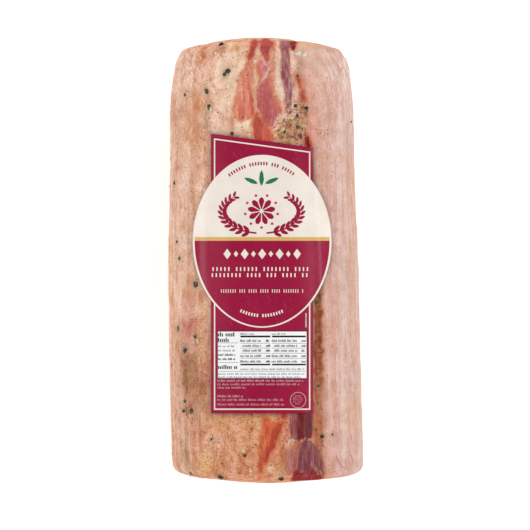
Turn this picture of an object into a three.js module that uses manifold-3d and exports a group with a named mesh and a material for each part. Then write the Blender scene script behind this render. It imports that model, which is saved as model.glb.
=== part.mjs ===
// A rolled and peppered pork belly, vacuum packed in tight clear film, lying on its side with a die-cut
// paper label stuck across its upper face.
// Millimetres. +Y runs along the roll, +X is to the right seen from above, and z = 0 is what it rests on.
import * as THREE from "three";
import { mergeVertices } from "three/addons/utils/BufferGeometryUtils.js";
import Module from "manifold-3d";

const wasm = await Module();
wasm.setup();

const degree = Math.PI / 180;

// The packed roll. An angle runs round its section from the top, 0, towards +X, 90 degrees.
const roll = {
  length: 249.6,
  halfWidth: 53.7, // at the wide -Y end
  halfHeight: 50,
  narrowing: 1.8, // the +Y half is this much slimmer on each side
  narrowFrom: -14, // y where the narrowing starts
  narrowTo: 68, // y where it is complete
  shift: -2.35, // x of the axis in the straight +Y half
  lean: 0.023, // sideways drift of the axis per millimetre towards -Y
  leanFrom: 40, // y where the drift sets in
  leanEase: 20,
  flatDepth: 2.2, // how much of the round is pressed flat on the table
};
roll.axisHeight = roll.halfHeight - roll.flatDepth;

// Each end is a low dome that turns through a soft corner into the side. A share is of the section's radius.
const wideEnd = {
  dome: 5.4,
  domePower: 1.5,
  cornerShare: 0.99,
  capRound: 0.22, // the corner's rounding starts this share inside it
  sideRound: 6, // and ends this far along the side
  shoulderLength: 38, // the side draws in to the corner over this length
};
const slimEnd = {
  dome: 7.1,
  domePower: 2.05,
  cornerShare: 0.887,
  capRound: 0.075,
  sideRound: 7.5,
  shoulderLength: 39,
};

// The belly's outer flap ends in a spice-lined valley that runs the length of the roll.
const seam = {
  angleWide: 35.2 * degree,
  angleSlim: 23.3 * degree,
  turnFrom: 0, // y where the seam starts to swing up towards the top
  turnTo: 118,
  depth: 1.9,
  halfWidth: 3.1,
  flapRise: 0.9, // the flap stands this much above what it overlaps
  flapFade: 34, // and sinks back into the round over this length of arc
};

// A shallow furrow on the other side, where the film has drawn the fat together.
const furrow = {
  angle: -57 * degree,
  depth: 0.7,
  halfWidth: 2.6,
  from: 10, // y where it starts to show, towards -Y
};

// Low swells of the meat: turns round the section, waves along the roll, phase and height.
const swells = [
  { turns: 2, waves: 0.6, phase: 0.7, height: 0.22 },
  { turns: 3, waves: 1.3, phase: 2.1, height: 0.2 },
  { turns: 5, waves: 0.9, phase: 4.0, height: 0.13 },
];

// The slab of belly is wound inwards from the seam, and its turns show as a spiral groove on both ends.
const spiral = {
  turns: 2,
  depth: 1.3,
  halfWidth: 2.5,
  rimFrom: 0.78, // share of the radius where the groove starts to die out under the film
  rimTo: 0.9,
  coreFrom: 0.1,
  coreTo: 0.2,
};

// Gathers of film that run over the rim of each end.
const gathers = { count: 12, height: 0.4, spread: 9 };

// Pieces of cracked peppercorn pressed into the fat. The largest are placed as they show from above.
const pepperBump = { sunk: 0.3, flatness: 0.75, smallest: 1.05, largest: 1.4, labelMargin: 3.2 };
const largePepper = [
  { x: -33.2, y: 94.7, radius: 1.35 },
  { x: -31.8, y: 86.2, radius: 1.45 },
  { x: -18.7, y: 73.5, radius: 1.2 },
  { x: 17.7, y: 81.3, radius: 1.35 },
  { x: 19.2, y: 69.4, radius: 1.5 },
  { x: -39.2, y: -13.5, radius: 1.4 },
  { x: -45.5, y: -50.5, radius: 1.35 },
  { x: -41.3, y: -84.3, radius: 1.6 },
  { x: -45.4, y: -78.7, radius: 1.3 },
  { x: -12.1, y: -107.7, radius: 1.5 },
  { x: 31.9, y: -98.6, radius: 1.25 },
];

// The others are strewn by a fixed seed. An angle is from the top, or from the seam where a zone follows it.
const pepperSeed = 7;
const pepperZones = [
  { count: 4, angles: [-62, -28], along: [60, 112] },
  { count: 11, angles: [-78, -50], along: [-108, 50] },
  { count: 5, angles: [-5, 4], along: [66, 112], atSeam: true },
  { count: 7, angles: [-4, 7], along: [-110, -20], atSeam: true },
  { count: 2, angles: [-20, 20], along: [-112, -92] },
  { count: 3, angles: [44, 66], along: [-100, 95] },
  { count: 12, angles: [-148, -80], along: [-104, 104] },
  { count: 12, angles: [70, 148], along: [-104, 104] },
];

// The label: a tall rectangle with a slanted top, and a wider oval that bulges past both of its sides.
// Its outline is drawn as it shows from a point this high above the table, to the scale of the roll's axis.
const label = {
  viewHeight: 2000,
  gap: 0.35, // clear of the film
  thickness: 0.4,
  centre: -1.96,
  rectHalfWidth: 28.65,
  bottom: -85.7,
  topLeft: 71,
  topRight: 63.1,
  ovalCentre: 10.7,
  ovalHalfWidth: 38.85,
  ovalHalfHeight: 48.4,
};

const mesh = { around: 72, body: 26, capRings: 15, cornerSteps: 6, labelColumns: 16, labelRows: 28 };
const settleSteps = 16; // rounds in which a place seen from above settles on the curved skin

const lerp = THREE.MathUtils.lerp;
const smooth = THREE.MathUtils.smoothstep; // (x, low, high)

function hump(distance, halfWidth) {
  return Math.exp(-((distance / halfWidth) ** 2));
}

// The axis runs straight in the +Y half and then drifts sideways.
function axisX(y) {
  const run = roll.leanFrom - y;
  return roll.shift + 0.5 * roll.lean * (run + Math.hypot(run, roll.leanEase));
}

function halfWidthAt(y) {
  return roll.halfWidth - roll.narrowing * smooth(y, roll.narrowFrom, roll.narrowTo);
}

function seamAngle(y) {
  return lerp(seam.angleWide, seam.angleSlim, smooth(y, seam.turnFrom, seam.turnTo));
}

// The signed turn from one angle to another, from -180 to 180 degrees.
function turnFrom(start, angle) {
  return Math.atan2(Math.sin(angle - start), Math.cos(angle - start));
}

// The taut outer form, which the label follows: an ellipse, the swells and the flap's rise at the seam.
function tautRadius(angle, y) {
  const ellipse = 1 / Math.hypot(Math.sin(angle) / halfWidthAt(y), Math.cos(angle) / roll.halfHeight);
  const along = (2 * Math.PI * y) / roll.length;
  let swell = 0;
  for (const { turns, waves, phase, height } of swells) {
    swell += height * Math.sin(turns * angle + waves * along + phase);
  }
  const arc = turnFrom(seamAngle(y), angle) * ellipse;
  const rise = 0.5 * (1 + Math.tanh(arc / seam.halfWidth)) * Math.exp(-Math.max(arc, 0) / seam.flapFade);
  return ellipse + swell + seam.flapRise * rise;
}

// The same with the seam's valley and the furrow let in.
function sideRadius(angle, y) {
  const radius = tautRadius(angle, y);
  const valley = seam.depth * hump(turnFrom(seamAngle(y), angle) * radius, seam.halfWidth);
  const shown = smooth(-y, -furrow.from, furrow.from + roll.length / 4);
  const dip = furrow.depth * shown * hump(turnFrom(furrow.angle, angle) * radius, furrow.halfWidth);
  return radius - valley - dip;
}

// How far the spiral groove is let into an end at this angle and share of the radius.
function spiralDepth(angle, share, y) {
  const turn = (turnFrom(seamAngle(y), angle) + 2 * Math.PI) % (2 * Math.PI);
  const radius = roll.halfHeight;
  let groove = 0;
  for (let n = 0; n <= spiral.turns; n += 1) {
    const grooveShare = 1 - (n + turn / (2 * Math.PI)) / spiral.turns;
    if (grooveShare > 0) groove += hump((share - grooveShare) * radius, spiral.halfWidth);
  }
  const core = smooth(share, spiral.coreFrom, spiral.coreTo);
  const rim = 1 - smooth(share, spiral.rimFrom, spiral.rimTo);
  return spiral.depth * Math.min(groove, 1) * core * rim;
}

// One end's profile from the middle of its dome to the start of the plain side: shares of the radius, and how
// far each point lies in from the dome's tip.
function endProfile(end) {
  const capInset = (share) => end.dome * (share / end.cornerShare) ** end.domePower;
  const drawnIn = (inset) => Math.max(1 - (inset - end.dome) / end.shoulderLength, 0) ** 2;
  const sideShare = (inset) => 1 - (1 - end.cornerShare) * drawnIn(inset);
  const capEnd = end.cornerShare - end.capRound;
  const points = [];
  for (let i = 1; i <= mesh.capRings; i += 1) {
    const share = (capEnd * i) / mesh.capRings;
    points.push({ share, inset: capInset(share), cap: true });
  }
  const sideStart = end.dome + end.sideRound;
  const corner = new THREE.QuadraticBezierCurve(
    new THREE.Vector2(capEnd, capInset(capEnd)),
    new THREE.Vector2(end.cornerShare, end.dome),
    new THREE.Vector2(sideShare(sideStart), sideStart),
  );
  for (let i = 1; i <= mesh.cornerSteps; i += 1) {
    const point = corner.getPoint(i / mesh.cornerSteps);
    points.push({ share: point.x, inset: point.y, cap: false });
  }
  return { points, sideShare, sideStart };
}

// The whole profile from the -Y tip to the +Y tip, without the two tips themselves.
function rollProfile() {
  const half = roll.length / 2;
  const wide = endProfile(wideEnd);
  const slim = endProfile(slimEnd);
  const profile = wide.points.map((p) => ({ share: p.share, y: p.inset - half, cap: p.cap }));
  const bodyStart = wide.sideStart - half;
  const bodyEnd = half - slim.sideStart;
  for (let i = 1; i < mesh.body; i += 1) {
    const y = lerp(bodyStart, bodyEnd, i / mesh.body);
    profile.push({ share: Math.min(wide.sideShare(y + half), slim.sideShare(half - y)), y, cap: false });
  }
  slim.points.reverse().forEach((p) => profile.push({ share: p.share, y: half - p.inset, cap: p.cap }));
  return profile;
}

// A point of the roll's skin. The underside is pressed flat on z = 0.
function skinPoint(angle, share, y, cap) {
  const half = roll.length / 2;
  const rim = hump(half - Math.abs(y) - gathers.spread / 2, gathers.spread);
  const gather = cap ? 0 : gathers.height * rim * Math.sin(gathers.count * angle + 2 * Math.sin(3 * angle));
  const radius = share * (sideRadius(angle, y) + gather);
  const inward = cap ? -Math.sign(y) * spiralDepth(angle, share, y) : 0;
  const z = roll.axisHeight + radius * Math.cos(angle);
  return [axisX(y) + radius * Math.sin(angle), y + inward, Math.max(z, 0)];
}

function geometryOf(positions, indices) {
  const geometry = new THREE.BufferGeometry();
  geometry.setAttribute("position", new THREE.Float32BufferAttribute(positions, 3));
  geometry.setIndex(indices);
  return geometry;
}

function rollGeometry() {
  const profile = rollProfile();
  const n = mesh.around;
  const positions = [];
  const indices = [];
  profile.forEach((p) => {
    for (let i = 0; i < n; i += 1) positions.push(...skinPoint((2 * Math.PI * i) / n, p.share, p.y, p.cap));
  });
  for (let j = 0; j + 1 < profile.length; j += 1) {
    for (let i = 0; i < n; i += 1) {
      const next = (i + 1) % n;
      const [a, b, c, d] = [j * n + i, j * n + next, (j + 1) * n + next, (j + 1) * n + i];
      indices.push(a, b, c, a, c, d);
    }
  }
  const half = roll.length / 2;
  const lowTip = profile.length * n;
  const highTip = lowTip + 1;
  const lastRow = (profile.length - 1) * n;
  positions.push(axisX(-half), -half, roll.axisHeight, axisX(half), half, roll.axisHeight);
  for (let i = 0; i < n; i += 1) {
    const next = (i + 1) % n;
    indices.push(lowTip, next, i, highTip, lastRow + i, lastRow + next);
  }
  return geometryOf(positions, indices);
}

// How far in from the full section the side has drawn at this y.
const wideSide = endProfile(wideEnd).sideShare;
const slimSide = endProfile(slimEnd).sideShare;
function sideShareAt(y) {
  return Math.min(wideSide(y + roll.length / 2), slimSide(roll.length / 2 - y));
}

// A point at a lift over a surface, by where it shows from above. A surface is a radius for an angle and a y.
function pointSeenAt(seenX, seenY, surface, lift) {
  let [x, y, z] = [seenX, seenY, roll.axisHeight + roll.halfHeight];
  for (let i = 0; i < settleSteps; i += 1) {
    const nearer = (label.viewHeight - z) / (label.viewHeight - roll.axisHeight);
    x = seenX * nearer;
    y = seenY * nearer;
    const offset = x - axisX(y);
    const radius = surface(Math.atan2(offset, z - roll.axisHeight), y) + lift;
    z = roll.axisHeight + Math.sqrt(Math.max(radius ** 2 - offset ** 2, 0));
  }
  return [x, y, z];
}

// Whether a place seen from above is on the label or within a margin of it.
function nearLabel(x, y, margin) {
  const across = Math.abs(x - label.centre);
  const slope = (x - label.centre + label.rectHalfWidth) / (2 * label.rectHalfWidth);
  const top = lerp(label.topLeft, label.topRight, slope) + margin;
  const onRect = across < label.rectHalfWidth + margin && y > label.bottom - margin && y < top;
  const ovalX = across / (label.ovalHalfWidth + margin);
  const ovalY = (y - label.ovalCentre) / (label.ovalHalfHeight + margin);
  return onRect || ovalX ** 2 + ovalY ** 2 < 1;
}

// A repeatable stream of numbers from 0 to 1.
function seededNumbers(seed) {
  let state = seed;
  return () => {
    state = (state * 1664525 + 1013904223) % 4294967296;
    return state / 4294967296;
  };
}

function pepperGeometry(radius, turn, place) {
  const geometry = new THREE.IcosahedronGeometry(radius, 0);
  geometry.scale(1, 1, pepperBump.flatness).rotateX(turn).rotateY(2 * turn);
  return geometry.translate(...place);
}

function pepperGeometries() {
  const skin = (angle, y) => sideRadius(angle, y) * sideShareAt(y);
  const made = largePepper.map((piece, i) => {
    const place = pointSeenAt(piece.x, piece.y, skin, -pepperBump.sunk * piece.radius);
    return pepperGeometry(piece.radius, i, place);
  });
  const next = seededNumbers(pepperSeed);
  for (const zone of pepperZones) {
    let left = zone.count;
    while (left > 0) {
      const y = lerp(...zone.along, next());
      const angle = lerp(...zone.angles, next()) * degree + (zone.atSeam ? seamAngle(y) : 0);
      const radius = lerp(pepperBump.smallest, pepperBump.largest, next());
      const away = skin(angle, y) - pepperBump.sunk * radius;
      const place = [axisX(y) + away * Math.sin(angle), y, roll.axisHeight + away * Math.cos(angle)];
      const above = place[2] > roll.axisHeight;
      if (!above || !nearLabel(place[0], y, pepperBump.labelMargin)) {
        made.push(pepperGeometry(radius, left, place));
        left -= 1;
      }
    }
  }
  return made;
}

function solidOf(geometry) {
  const bare = geometry.clone();
  bare.deleteAttribute("normal");
  bare.deleteAttribute("uv");
  const merged = mergeVertices(bare, 1e-4);
  return new wasm.Manifold(
    new wasm.Mesh({
      numProp: 3,
      vertProperties: new Float32Array(merged.attributes.position.array),
      triVerts: new Uint32Array(merged.index.array),
    }),
  );
}

function geometryOfSolid(solid) {
  const made = solid.getMesh();
  const positions = [];
  for (let i = 0; i < made.numVert; i += 1) {
    positions.push(...made.vertProperties.subarray(i * made.numProp, i * made.numProp + 3));
  }
  return geometryOf(positions, Array.from(made.triVerts));
}

function pancettaGeometry() {
  let joined = solidOf(rollGeometry());
  for (const pepper of pepperGeometries()) joined = joined.add(solidOf(pepper));
  return geometryOfSolid(joined);
}

function labelPoint(across, along, lift) {
  return pointSeenAt(label.centre + across, along, tautRadius, lift);
}

// The label's rows from bottom to top. Each has a half width, and a place along the roll that may slope.
function labelRows() {
  const meet = label.ovalHalfHeight * Math.sqrt(1 - (label.rectHalfWidth / label.ovalHalfWidth) ** 2);
  const low = label.ovalCentre - meet;
  const high = label.ovalCentre + meet;
  const rows = [];
  const plain = Math.round(mesh.labelRows / 4);
  for (let i = 0; i < plain; i += 1) {
    rows.push({ halfWidth: label.rectHalfWidth, along: () => lerp(label.bottom, low, i / plain) });
  }
  const oval = Math.round(mesh.labelRows / 2);
  const meetTurn = Math.asin(meet / label.ovalHalfHeight);
  for (let i = 0; i <= oval; i += 1) {
    const turn = lerp(-meetTurn, meetTurn, i / oval);
    const place = label.ovalCentre + label.ovalHalfHeight * Math.sin(turn);
    rows.push({ halfWidth: label.ovalHalfWidth * Math.cos(turn), along: () => place });
  }
  for (let i = 1; i <= plain; i += 1) {
    rows.push({
      halfWidth: label.rectHalfWidth,
      along: (across) => lerp(high, lerp(label.topLeft, label.topRight, across), i / plain),
    });
  }
  return rows;
}

function labelGeometry() {
  const rows = labelRows();
  const columns = mesh.labelColumns;
  const perLayer = rows.length * (columns + 1);
  const positions = [];
  for (const lift of [label.gap, label.gap + label.thickness]) {
    rows.forEach((row) => {
      for (let i = 0; i <= columns; i += 1) {
        const across = i / columns;
        positions.push(...labelPoint(lerp(-row.halfWidth, row.halfWidth, across), row.along(across), lift));
      }
    });
  }
  const at = (row, column, layer) => layer * perLayer + row * (columns + 1) + column;
  const indices = [];
  for (let j = 0; j + 1 < rows.length; j += 1) {
    for (let i = 0; i < columns; i += 1) {
      const upper = [at(j, i, 1), at(j, i + 1, 1), at(j + 1, i + 1, 1), at(j + 1, i, 1)];
      const lower = [at(j, i, 0), at(j + 1, i, 0), at(j + 1, i + 1, 0), at(j, i + 1, 0)];
      for (const [a, b, c, d] of [upper, lower]) indices.push(a, b, c, a, c, d);
    }
    for (const [column, flip] of [[0, false], [columns, true]]) {
      const [a, b, c, d] = [at(j, column, 0), at(j, column, 1), at(j + 1, column, 1), at(j + 1, column, 0)];
      indices.push(...(flip ? [a, c, b, a, d, c] : [a, b, c, a, c, d]));
    }
  }
  for (let i = 0; i < columns; i += 1) {
    for (const [row, flip] of [[0, true], [rows.length - 1, false]]) {
      const [a, b, c, d] = [at(row, i, 0), at(row, i, 1), at(row, i + 1, 1), at(row, i + 1, 0)];
      indices.push(...(flip ? [a, c, b, a, d, c] : [a, b, c, a, c, d]));
    }
  }
  return geometryOf(positions, indices);
}

function piece(name, geometry, colour, roughness) {
  const material = new THREE.MeshStandardMaterial({ color: colour, roughness, metalness: 0 });
  const made = new THREE.Mesh(geometry, material);
  made.name = name;
  return made;
}

const group = new THREE.Group();
group.add(piece("pancetta", pancettaGeometry(), 0xdcae95, 0.3));
group.add(piece("label", labelGeometry(), 0x9b2948, 0.35));

export default group;
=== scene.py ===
import math
from types import SimpleNamespace

import bmesh
import bpy
import numpy as np
from mathutils import Matrix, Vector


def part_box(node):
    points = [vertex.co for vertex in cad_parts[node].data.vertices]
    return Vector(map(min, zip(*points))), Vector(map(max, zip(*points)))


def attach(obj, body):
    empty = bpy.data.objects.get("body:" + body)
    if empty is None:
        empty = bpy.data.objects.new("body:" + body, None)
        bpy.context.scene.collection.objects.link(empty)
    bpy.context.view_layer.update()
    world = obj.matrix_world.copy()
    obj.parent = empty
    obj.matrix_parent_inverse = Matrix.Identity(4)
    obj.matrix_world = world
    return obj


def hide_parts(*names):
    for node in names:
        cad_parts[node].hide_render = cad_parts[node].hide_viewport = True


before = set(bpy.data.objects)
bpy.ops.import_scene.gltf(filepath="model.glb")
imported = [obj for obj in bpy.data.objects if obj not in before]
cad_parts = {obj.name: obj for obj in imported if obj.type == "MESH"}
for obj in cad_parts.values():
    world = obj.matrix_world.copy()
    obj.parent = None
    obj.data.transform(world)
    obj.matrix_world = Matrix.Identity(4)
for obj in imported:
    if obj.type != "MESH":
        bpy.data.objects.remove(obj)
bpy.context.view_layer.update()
print("solid roll and label loaded")

# Everything below is in millimetres until a mesh is made. An angle runs round the roll from the top, 0,
# towards +X, 90 degrees. A place "seen" is where a point shows from straight above, at the axis's scale.
mm = 0.001
degree = math.pi / 180

rollLow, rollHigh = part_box("pancetta")
roll = {
    "length": (rollHigh.y - rollLow.y) / mm,
    "halfWidth": 53.7,  # at the wide -Y end
    "halfHeight": 50,
    "narrowing": 1.8,
    "narrowFrom": -14,
    "narrowTo": 68,
    "shift": -2.35,  # x of the axis in the straight +Y half
    "lean": 0.023,  # sideways drift of the axis per millimetre towards -Y
    "leanFrom": 40,
    "leanEase": 20,
    "axisHeight": 47.8,
}
halfRoll, axisZ = roll["length"] / 2, roll["axisHeight"]
endSizes = ("dome", "power", "cornerShare", "capRound", "sideRound", "shoulder")
wideEnd = dict(zip(endSizes, (5.4, 1.5, 0.99, 0.22, 6, 38)))
slimEnd = dict(zip(endSizes, (7.1, 2.05, 0.887, 0.075, 7.5, 39)))
seam = {
    "angleWide": 35.2 * degree,
    "angleSlim": 23.3 * degree,
    "turnTo": 118,
    "depth": 1.9,
    "halfWidth": 3.1,
    "flapRise": 0.9,
    "flapFade": 34,
}
furrow = {"angle": -57 * degree, "depth": 0.7, "halfWidth": 2.6, "from": 10}
swells = [(2, 0.6, 0.7, 0.22), (3, 1.3, 2.1, 0.2), (5, 0.9, 4.0, 0.13)]  # turns, waves, phase, height
spiral = {"turns": 2, "depth": 1.3, "halfWidth": 2.5, "rim": (0.78, 0.9), "core": (0.1, 0.2)}
layerThickness = roll["halfHeight"] / spiral["turns"]
gathers = {"count": 12, "height": 0.4, "spread": 9}
# "shown" is the width in frame at the axis.
view = {"height": 2000, "x": -0.34, "y": -2.52, "shown": 296.8, "sensor": 36}


def smooth(value, low, high):
    share = np.clip((value - low) / (high - low), 0, 1)
    return share * share * (3 - 2 * share)


def hump(distance, halfWidth):
    return np.exp(-((distance / halfWidth) ** 2))


def mixed(a, b, share):
    return a + (b - a) * share


# A smooth random wave over p and q, about "size" long.
def ripple(p, q, seed, size, height):
    draws = np.random.default_rng(seed)
    total = 0 * p
    for _ in range(7):
        heading, phase = draws.uniform(0, 2 * math.pi, 2)
        wave = 2 * math.pi / (size * draws.uniform(0.55, 1.9))
        total = total + np.sin((p * math.cos(heading) + q * math.sin(heading)) * wave + phase)
    return height * total / 2


def axisX(y):
    run = roll["leanFrom"] - y
    return roll["shift"] + 0.5 * roll["lean"] * (run + np.hypot(run, roll["leanEase"]))


def seamAngle(y):
    return mixed(seam["angleWide"], seam["angleSlim"], smooth(y, 0, seam["turnTo"]))


def turnFrom(start, angle):
    return np.arctan2(np.sin(angle - start), np.cos(angle - start))


# Millimetres round the roll from a start.
def arcFrom(start, angle):
    return turnFrom(start, angle) * roll["halfWidth"]


def placeAt(angle, y, radius):
    return np.stack([axisX(y) + radius * np.sin(angle), y, axisZ + radius * np.cos(angle)], -1)


# The taut form that the label follows: an ellipse, the swells and the flap's rise at the seam.
def tautRadius(angle, y):
    halfWidth = roll["halfWidth"] - roll["narrowing"] * smooth(y, roll["narrowFrom"], roll["narrowTo"])
    radius = 1 / np.hypot(np.sin(angle) / halfWidth, np.cos(angle) / roll["halfHeight"])
    arc = turnFrom(seamAngle(y), angle) * radius
    rise = 0.5 * (1 + np.tanh(arc / seam["halfWidth"])) * np.exp(-np.maximum(arc, 0) / seam["flapFade"])
    for turns, waves, phase, height in swells:
        radius = radius + height * np.sin(turns * angle + waves * math.pi * y / halfRoll + phase)
    return radius + seam["flapRise"] * rise


def sideRadius(angle, y, valleyShare=1.0):
    radius = tautRadius(angle, y)
    valley = seam["depth"] * hump(turnFrom(seamAngle(y), angle) * radius, seam["halfWidth"])
    shown = smooth(-y, -furrow["from"], furrow["from"] + halfRoll / 2)
    dip = furrow["depth"] * shown * hump(turnFrom(furrow["angle"], angle) * radius, furrow["halfWidth"])
    return radius - valleyShare * valley - dip


# How far inwards along the spiral a point of an end lies: 0 at a groove, 1 at the next groove inwards.
def layerPlace(angle, share, y):
    turn = np.mod(turnFrom(seamAngle(y), angle), 2 * math.pi) / (2 * math.pi)
    return np.mod((1 - share) * spiral["turns"] - turn, 1)


def spiralDepth(angle, share, y):
    place = layerPlace(angle, share, y)
    across = np.minimum(place, 1 - place) * roll["halfHeight"] / spiral["turns"]
    core, rim = smooth(share, *spiral["core"]), 1 - smooth(share, *spiral["rim"])
    return spiral["depth"] * hump(across, spiral["halfWidth"]) * core * rim


def drawnShare(end, inset):
    return 1 - (1 - end["cornerShare"]) * np.maximum(1 - (inset - end["dome"]) / end["shoulder"], 0) ** 2


# One end's rows, from the middle of its dome to the plain side: share of the radius, inset from the tip, and
# how much of the end's face the row belongs to.
def endRows(end, capRings, cornerSteps):
    capEnd = end["cornerShare"] - end["capRound"]
    sideStart = end["dome"] + end["sideRound"]
    capShare = capEnd * np.arange(1, capRings + 1) / capRings
    capInset = end["dome"] * (capShare / end["cornerShare"]) ** end["power"]
    t = np.arange(1, cornerSteps + 1) / cornerSteps
    weights = [(1 - t) ** 2, 2 * t * (1 - t), t * t]
    shares = (capEnd, end["cornerShare"], drawnShare(end, sideStart))
    cornerShare, cornerInset = (
        sum(w * s for w, s in zip(weights, ends)) for ends in (shares, (capInset[-1], end["dome"], sideStart))
    )
    return np.r_[capShare, cornerShare], np.r_[capInset, cornerInset], np.r_[np.ones(capRings), 1 - t]


# All rows from the -Y tip to the +Y tip, without the tips. "cap" is 1 on the end's face and 0 on the side.
def rollRows(capRings, cornerSteps, bodyRows):
    wide, slim = (endRows(end, capRings, cornerSteps) for end in (wideEnd, slimEnd))
    bodyY = np.linspace(wide[1][-1] - halfRoll, halfRoll - slim[1][-1], bodyRows + 1)[1:-1]
    bodyShare = np.minimum(drawnShare(wideEnd, bodyY + halfRoll), drawnShare(slimEnd, halfRoll - bodyY))
    return {
        "y": np.r_[wide[1] - halfRoll, bodyY, halfRoll - slim[1][::-1]],
        "share": np.r_[wide[0], bodyShare, slim[0][::-1]],
        "cap": np.r_[wide[2], 0 * bodyY, slim[2][::-1]],
    }


plainRows = rollRows(24, 12, 200)


def skinRadius(angle, y, valleyShare=1.0):
    return sideRadius(angle, y, valleyShare) * np.interp(y, plainRows["y"], plainRows["share"])


# A closed skin over the roll, a lift outside or inside the solid one. Returns the points, the faces, and for
# each point its angle, row y, share of the radius and cap value.
def rollSkin(angles, rows, lift, valleyShare, relief):
    n = len(angles)
    angle, y = np.meshgrid(angles, rows["y"])
    share, cap = (np.repeat(rows[name][:, None], n, 1) for name in ("share", "cap"))
    rim = hump(halfRoll - np.abs(y) - gathers["spread"] / 2, gathers["spread"]) * (cap < 1)
    gather = gathers["height"] * rim * np.sin(gathers["count"] * angle + 2 * np.sin(3 * angle))
    raised = relief(angle, y, cap)
    radius = share * (sideRadius(angle, y, valleyShare) + gather + lift) + raised * (1 - cap)
    points = placeAt(angle, y, radius)
    inward = spiralDepth(angle, share, y) * valleyShare * (cap == 1) - (lift + raised) * cap
    points[..., 1] -= np.sign(y) * inward
    points[..., 2] = np.maximum(points[..., 2], -lift)
    tips = [[axisX(s * halfRoll), s * (halfRoll + lift), axisZ] for s in (-1, 1)]
    grid = np.arange(angle.size).reshape(-1, n)
    beside = np.roll(grid, -1, 1)
    quads = np.stack([grid[:-1], beside[:-1], beside[1:], grid[1:]], -1).reshape(-1, 4)
    fans = [[grid.size, beside[0, i], grid[0, i]] for i in range(n)]
    fans += [[grid.size + 1, grid[-1, i], beside[-1, i]] for i in range(n)]
    tipFacts = [(0, 0), (-halfRoll, halfRoll), (0, 0), (1, 1)]
    facts = [np.r_[known.ravel(), atTips] for known, atTips in zip((angle, y, share, cap), tipFacts)]
    return np.vstack([points.reshape(-1, 3), tips]), quads.tolist() + fans, facts


def seenPlace(points):
    nearer = (view["height"] - axisZ) / (view["height"] - points[:, 2])
    return points[:, 0] * nearer, points[:, 1] * nearer


# The point of a surface, and a lift above it, that shows at a seen place.
def pointSeenAt(p, q, surface, lift):
    p, q = np.broadcast_arrays(np.asarray(p, float), np.asarray(q, float))
    z = np.full(p.shape, axisZ + roll["halfHeight"], float)
    for _ in range(16):
        nearer = (view["height"] - z) / (view["height"] - axisZ)
        x, y = p * nearer, q * nearer
        offset = x - axisX(y)
        radius = surface(np.arctan2(offset, z - axisZ), y) + lift
        z = axisZ + np.sqrt(np.maximum(radius**2 - offset**2, 0))
    return np.stack([x, y, z], -1)


# Meshes, attributes and pieces.
def objectOf(name, data):
    made = bpy.data.objects.new(name, data)
    bpy.context.scene.collection.objects.link(made)
    return made


def meshOf(name, points, faces):
    mesh = bpy.data.meshes.new(name)
    mesh.from_pydata((np.asarray(points) * mm).tolist(), [], faces)
    mesh.validate()
    return mesh


def pieceOf(name, mesh, material, sharpFrom=None):
    mesh.shade_smooth()
    if sharpFrom:
        mesh.set_sharp_from_angle(angle=sharpFrom * degree)
    if material:
        mesh.materials.clear()
        mesh.materials.append(material)
    return objectOf(name, mesh)


def writeField(mesh, name, values):
    values = np.asarray(values, np.float32)
    kinds = {1: ("FLOAT", "value"), 3: ("FLOAT_VECTOR", "vector"), 4: ("FLOAT_COLOR", "color")}
    kind, member = kinds[values[0].size]
    mesh.attributes.new(name, kind, "POINT").data.foreach_set(member, values.ravel())


def tone(*channels):
    shares = [channel / 255 for channel in channels]
    return (*[s / 12.92 if s <= 0.04045 else ((s + 0.055) / 1.055) ** 2.4 for s in shares], 1.0)


# Adds a node. A value given as a socket is linked, and anything else is set on the input.
def addNode(tree, kind, inputs=None, **settings):
    made = tree.nodes.new(kind)
    for key, value in settings.items():
        setattr(made, key, value)
    for key, value in (inputs or {}).items():
        value = value.socket if isinstance(value, Shade) else value
        if isinstance(value, bpy.types.NodeSocket):
            tree.links.new(value, made.inputs[key])
        else:
            made.inputs[key].default_value = value
    return made


# A value or colour of a material, which other values and plain numbers can be added to and multiplied with.
class Shade:
    def __init__(self, socket):
        self.socket = socket

    def through(self, kind, inputs, output=0, **settings):
        return Shade(addNode(self.socket.id_data, kind, inputs, **settings).outputs[output])

    def maths(self, operation, other):
        return self.through("ShaderNodeMath", {0: self, 1: other}, operation=operation)

    def __add__(self, other):
        return self.maths("ADD", other)

    def __sub__(self, other):
        return self.maths("SUBTRACT", other)

    def __mul__(self, other):
        return self.maths("MULTIPLY", other)

    def ranged(self, low, high, toLow=0.0, toHigh=1.0, kind="SMOOTHSTEP"):
        inputs = {"Value": self, "From Min": low, "From Max": high, "To Min": toLow, "To Max": toHigh}
        return self.through("ShaderNodeMapRange", inputs, interpolation_type=kind)

    # From one colour, where this value is 0, to another, where it is 1.
    def between(self, a, b):
        return self.through("ShaderNodeMix", {0: self, 6: a, 7: b}, 2, data_type="RGBA")

    # This colour times a tint that goes from low to high.
    def tinted(self, share, low, high):
        inputs = {0: 1.0, 6: self, 7: share.between((*low, 1), (*high, 1))}
        return self.through("ShaderNodeMix", inputs, 2, data_type="RGBA", blend_type="MULTIPLY")


def newMaterial(name):
    material = bpy.data.materials.new(name)
    material.use_nodes = True
    material.node_tree.nodes.clear()
    return material, material.node_tree


# Millimetres on the piece, with patterns drawn out along the roll where "along" is small.
def objectPlace(tree, along=1, turn=0):
    place = Shade(addNode(tree, "ShaderNodeTexCoord").outputs["Object"])
    if turn:
        place = place.through("ShaderNodeMapping", {"Vector": place, "Rotation": (0, 0, turn * degree)})
    return place.through("ShaderNodeMapping", {"Vector": place, "Scale": (1 / mm, along / mm, 1 / mm)})


def noise(place, size, detail=3.0, roughness=0.55, output="Fac"):
    inputs = {"Vector": place, "Scale": 1 / size, "Detail": detail, "Roughness": roughness}
    return place.through("ShaderNodeTexNoise", inputs, output)


def fieldOf(tree, name, output="Fac"):
    return Shade(addNode(tree, "ShaderNodeAttribute", attribute_name=name).outputs[output])


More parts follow.
